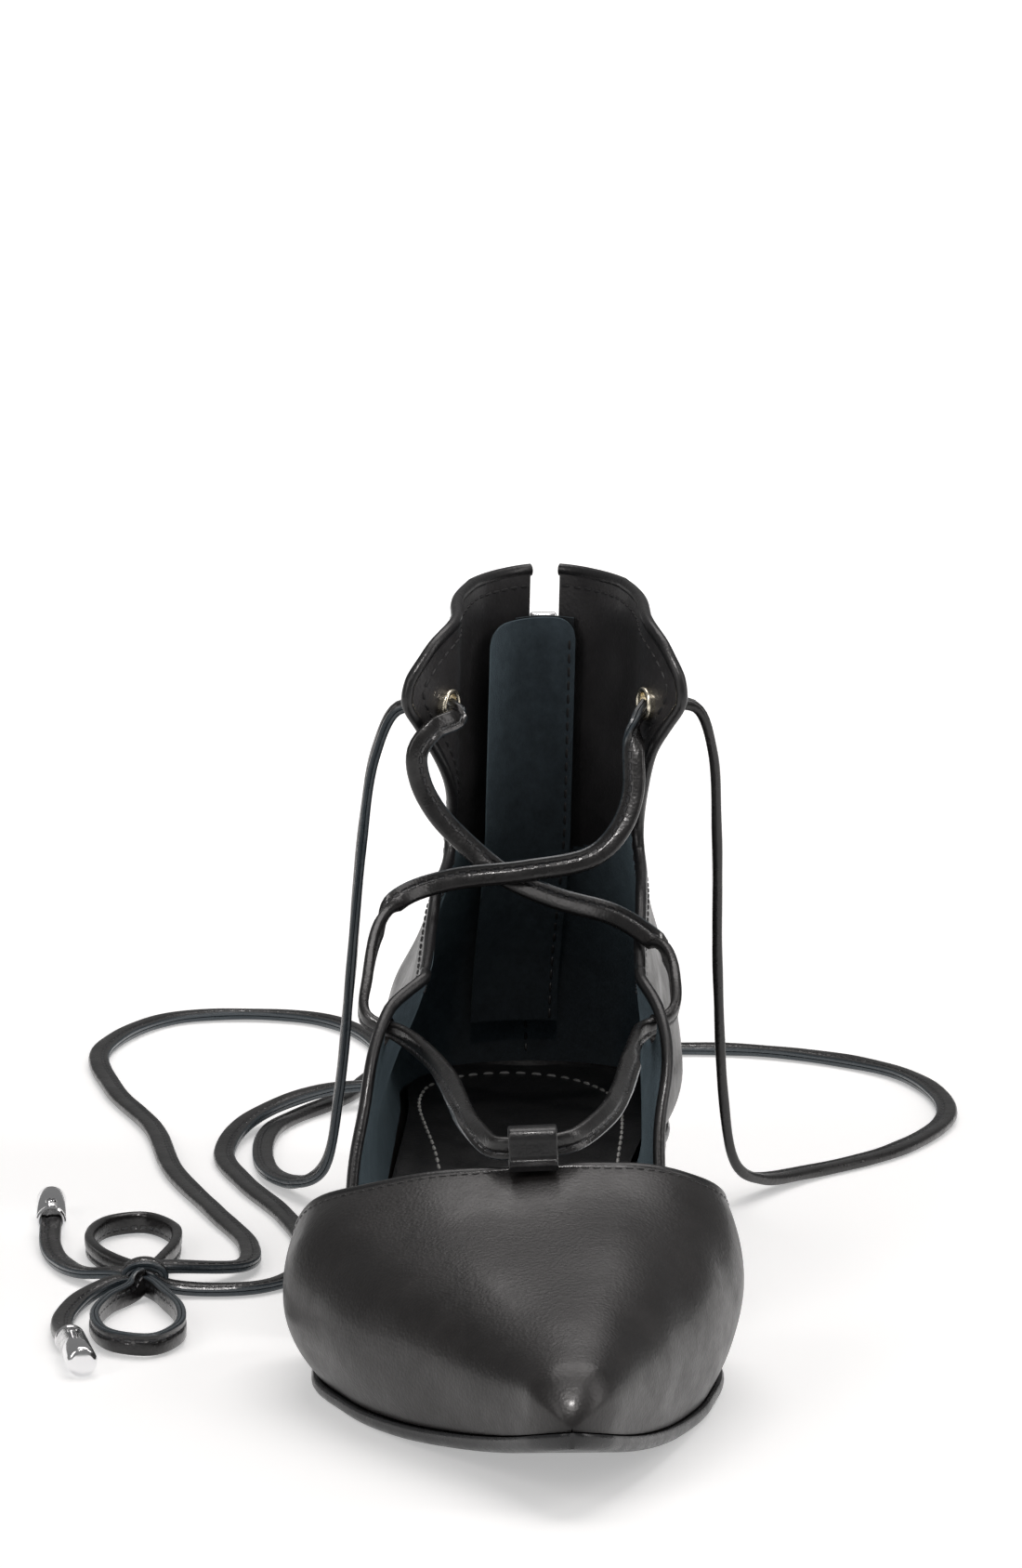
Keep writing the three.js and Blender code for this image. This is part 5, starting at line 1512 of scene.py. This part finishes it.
def make_knot():
    """A band of lace round the gathered roots of the loops."""
    x, y = KNOT_PLACE
    turn = np.linspace(0, 2 * math.pi, 73)[:-1]
    turn = np.append(turn, turn[0])
    line = np.stack([
        x + (KNOT_SIZE[0] / 2 - KNOT_BAND) * np.cos(turn),
        y + KNOT_BAND * np.sin(turn),
        KNOT_SIZE[2] / 2 + 0.1 + (KNOT_SIZE[2] / 2 - KNOT_BAND) * np.sin(turn),
    ], axis=1)
    facing = np.stack([np.cos(turn), 0 * turn, 1.3 * np.sin(turn)], axis=1)
    points, faces, uvs = sweep(line, facing, folded_section())
    return add_mesh("bow_knot_band", points, faces, strip_leather, "lace_leather", ["bow_knot"], uvs=uvs)


def make_laces():
    inside = [*CROSSING_UNDER[::-1], *THROAT_ROUTE[::-1], *CROSSING_OVER]
    ear = [np.array(float(value)) for value in EAR_HOLE]
    holes = [quarter_point(side, *ear, WALL / 2) for side in (-1, 1)]
    eyes = [wall_frame(side, EYELET_PLACE)[0] for side in (-1, 1)]
    start = (*(eyes[0] + [1.2, -0.4, -0.2]), OUT_LATERAL)
    end = (*(eyes[1] + [-1.2, -0.4, -0.2]), OUT_MEDIAL)
    points, faces, uvs = lace([start, *inside, end], [*holes, *eyes], 0.05)[1]
    add_mesh("lace_in_shoe", points, faces, strip_leather, "lace_leather", ["lace_throat", "lace_crossing"],
             uvs=uvs)
    knot = make_knot()
    ties = [
        ("lateral", TIE_LATERAL, BOW_LOOP_BACK, BOW_END_BACK, eyes[0], "back", 3),
        ("medial", TIE_MEDIAL, BOW_LOOP_FRONT, BOW_END_FRONT, eyes[1], "front", -3),
    ]
    for side, tie, loop, end_rows, eye, place, aside in ties:
        tip = make_aglet(f"aglet_{place}_tip", end_rows, f"aglet_{place}")
        knot_in = (KNOT_PLACE[0] + 0.5, KNOT_PLACE[1] + aside, 4.2, UP)
        knot_out = (KNOT_PLACE[0] - 1.5, KNOT_PLACE[1] + aside * 0.7, 2.6, UP)
        rows = [*tie, knot_in, *bow_rows(loop, True), knot_out, *bow_rows(end_rows, False)]
        stands_for = [f"tie_{side}", f"bow_loop_{place}", f"bow_end_{place}"]
        cord(f"tie_{side}_lace", rows, [eye], stands_for)


# Camera, light and floor
CAMERA_PLACE = (-0.069, -2.130, 0.5595)
CAMERA_PITCH = math.radians(12.05)
CAMERA_TURN = math.radians(1.88)
CAMERA_LENS = 269.2
SENSOR_WIDTH = 36
CLIP_RANGE = (0.05, 30)
WHITE = (1, 1, 1, 1)
WARM_WHITE = (1.0, 0.965, 0.955)
LIGHT_TARGET = (0, 0, 0.05)
# Lights: name, place, width and height, power in watts
LIGHTS = [
    ("overhead", (0.15, 0.55, 1.5), (1.3, 1.0), 12),
    ("front_left", (-1.1, -1.0, 0.9), (0.7, 1.1), 6),
    ("right_strip", (1.1, -0.2, 0.7), (0.35, 1.2), 4),
    ("toe_glint", (0.0, -0.67, 1.2), (0.06, 0.07), 9),
]
SKY_STRENGTH = 0.2
FLOOR_HALF = 6
FLOOR_COLOUR = (0.9, 0.9, 0.895, 1)
# The floor's own light: its strength near the shoe, and the stations between which it rises to 1
FLOOR_GLOW = 0.38
GLOW_STATIONS = (0.15, 1.6)


def place_object(name, data, place, ahead):
    """A camera or light at a place, turned towards a direction."""
    item = bpy.data.objects.new(name, data)
    bpy.context.scene.collection.objects.link(item)
    item.location = place
    item.rotation_mode = "QUATERNION"
    item.rotation_quaternion = Vector(ahead).to_track_quat("-Z", "Y")
    return item


def add_light(name, place, size, power):
    data = bpy.data.lights.new(name, "AREA")
    data.shape = "RECTANGLE"
    data.size, data.size_y = size
    data.energy = power
    data.color = WARM_WHITE
    return place_object(name, data, place, Vector(LIGHT_TARGET) - Vector(place))


def add_camera():
    data = bpy.data.cameras.new("camera")
    data.lens = CAMERA_LENS
    data.sensor_width = SENSOR_WIDTH
    data.clip_start, data.clip_end = CLIP_RANGE
    reach = math.cos(CAMERA_PITCH)
    ahead = (math.sin(CAMERA_TURN) * reach, math.cos(CAMERA_TURN) * reach, -math.sin(CAMERA_PITCH))
    bpy.context.scene.camera = place_object("camera", data, CAMERA_PLACE, ahead)


def add_floor():
    nodes = Nodes("floor_white")
    material = nodes.shade({
        "Base Color": FLOOR_COLOUR,
        "Roughness": 0.9,
        "Specular IOR Level": 0.1,
        "Emission Color": WHITE,
        "Emission Strength": nodes.ramp(nodes.parts_of(nodes.place)["Y"], *GLOW_STATIONS, FLOOR_GLOW, 1),
    })
    mesh = bpy.data.meshes.new("floor")
    corners = [(x * FLOOR_HALF, y * FLOOR_HALF, 0) for x, y in ((-1, -1), (1, -1), (1, 1), (-1, 1))]
    mesh.from_pydata(corners, [], [(0, 1, 2, 3)])
    mesh.materials.append(material)
    floor = bpy.data.objects.new("floor", mesh)
    bpy.context.scene.collection.objects.link(floor)


def set_stage():
    add_camera()
    add_floor()
    sky = bpy.data.worlds.new("studio")
    sky.use_nodes = True
    background = sky.node_tree.nodes["Background"]
    background.inputs["Color"].default_value = WHITE
    background.inputs["Strength"].default_value = SKY_STRENGTH
    scene = bpy.context.scene
    scene.world = sky
    lights = [add_light(*settings) for settings in LIGHTS]
    # The last light gives only the highlight on the toe, without a shadow of its own
    lights[-1].visible_diffuse = False
    scene.view_settings.view_transform = "Standard"
    scene.view_settings.look = "None"
    scene.render.engine = "CYCLES"


set_stage()
make_laces()
make_vamp()
for make_both in (make_quarter_half, make_eyelet):
    make_both(-1, "lateral")
    make_both(1, "medial")
make_sole()
make_insole()
make_zip()
make_guard()
make_back_seam()
make_slider()
make_lace_loop()
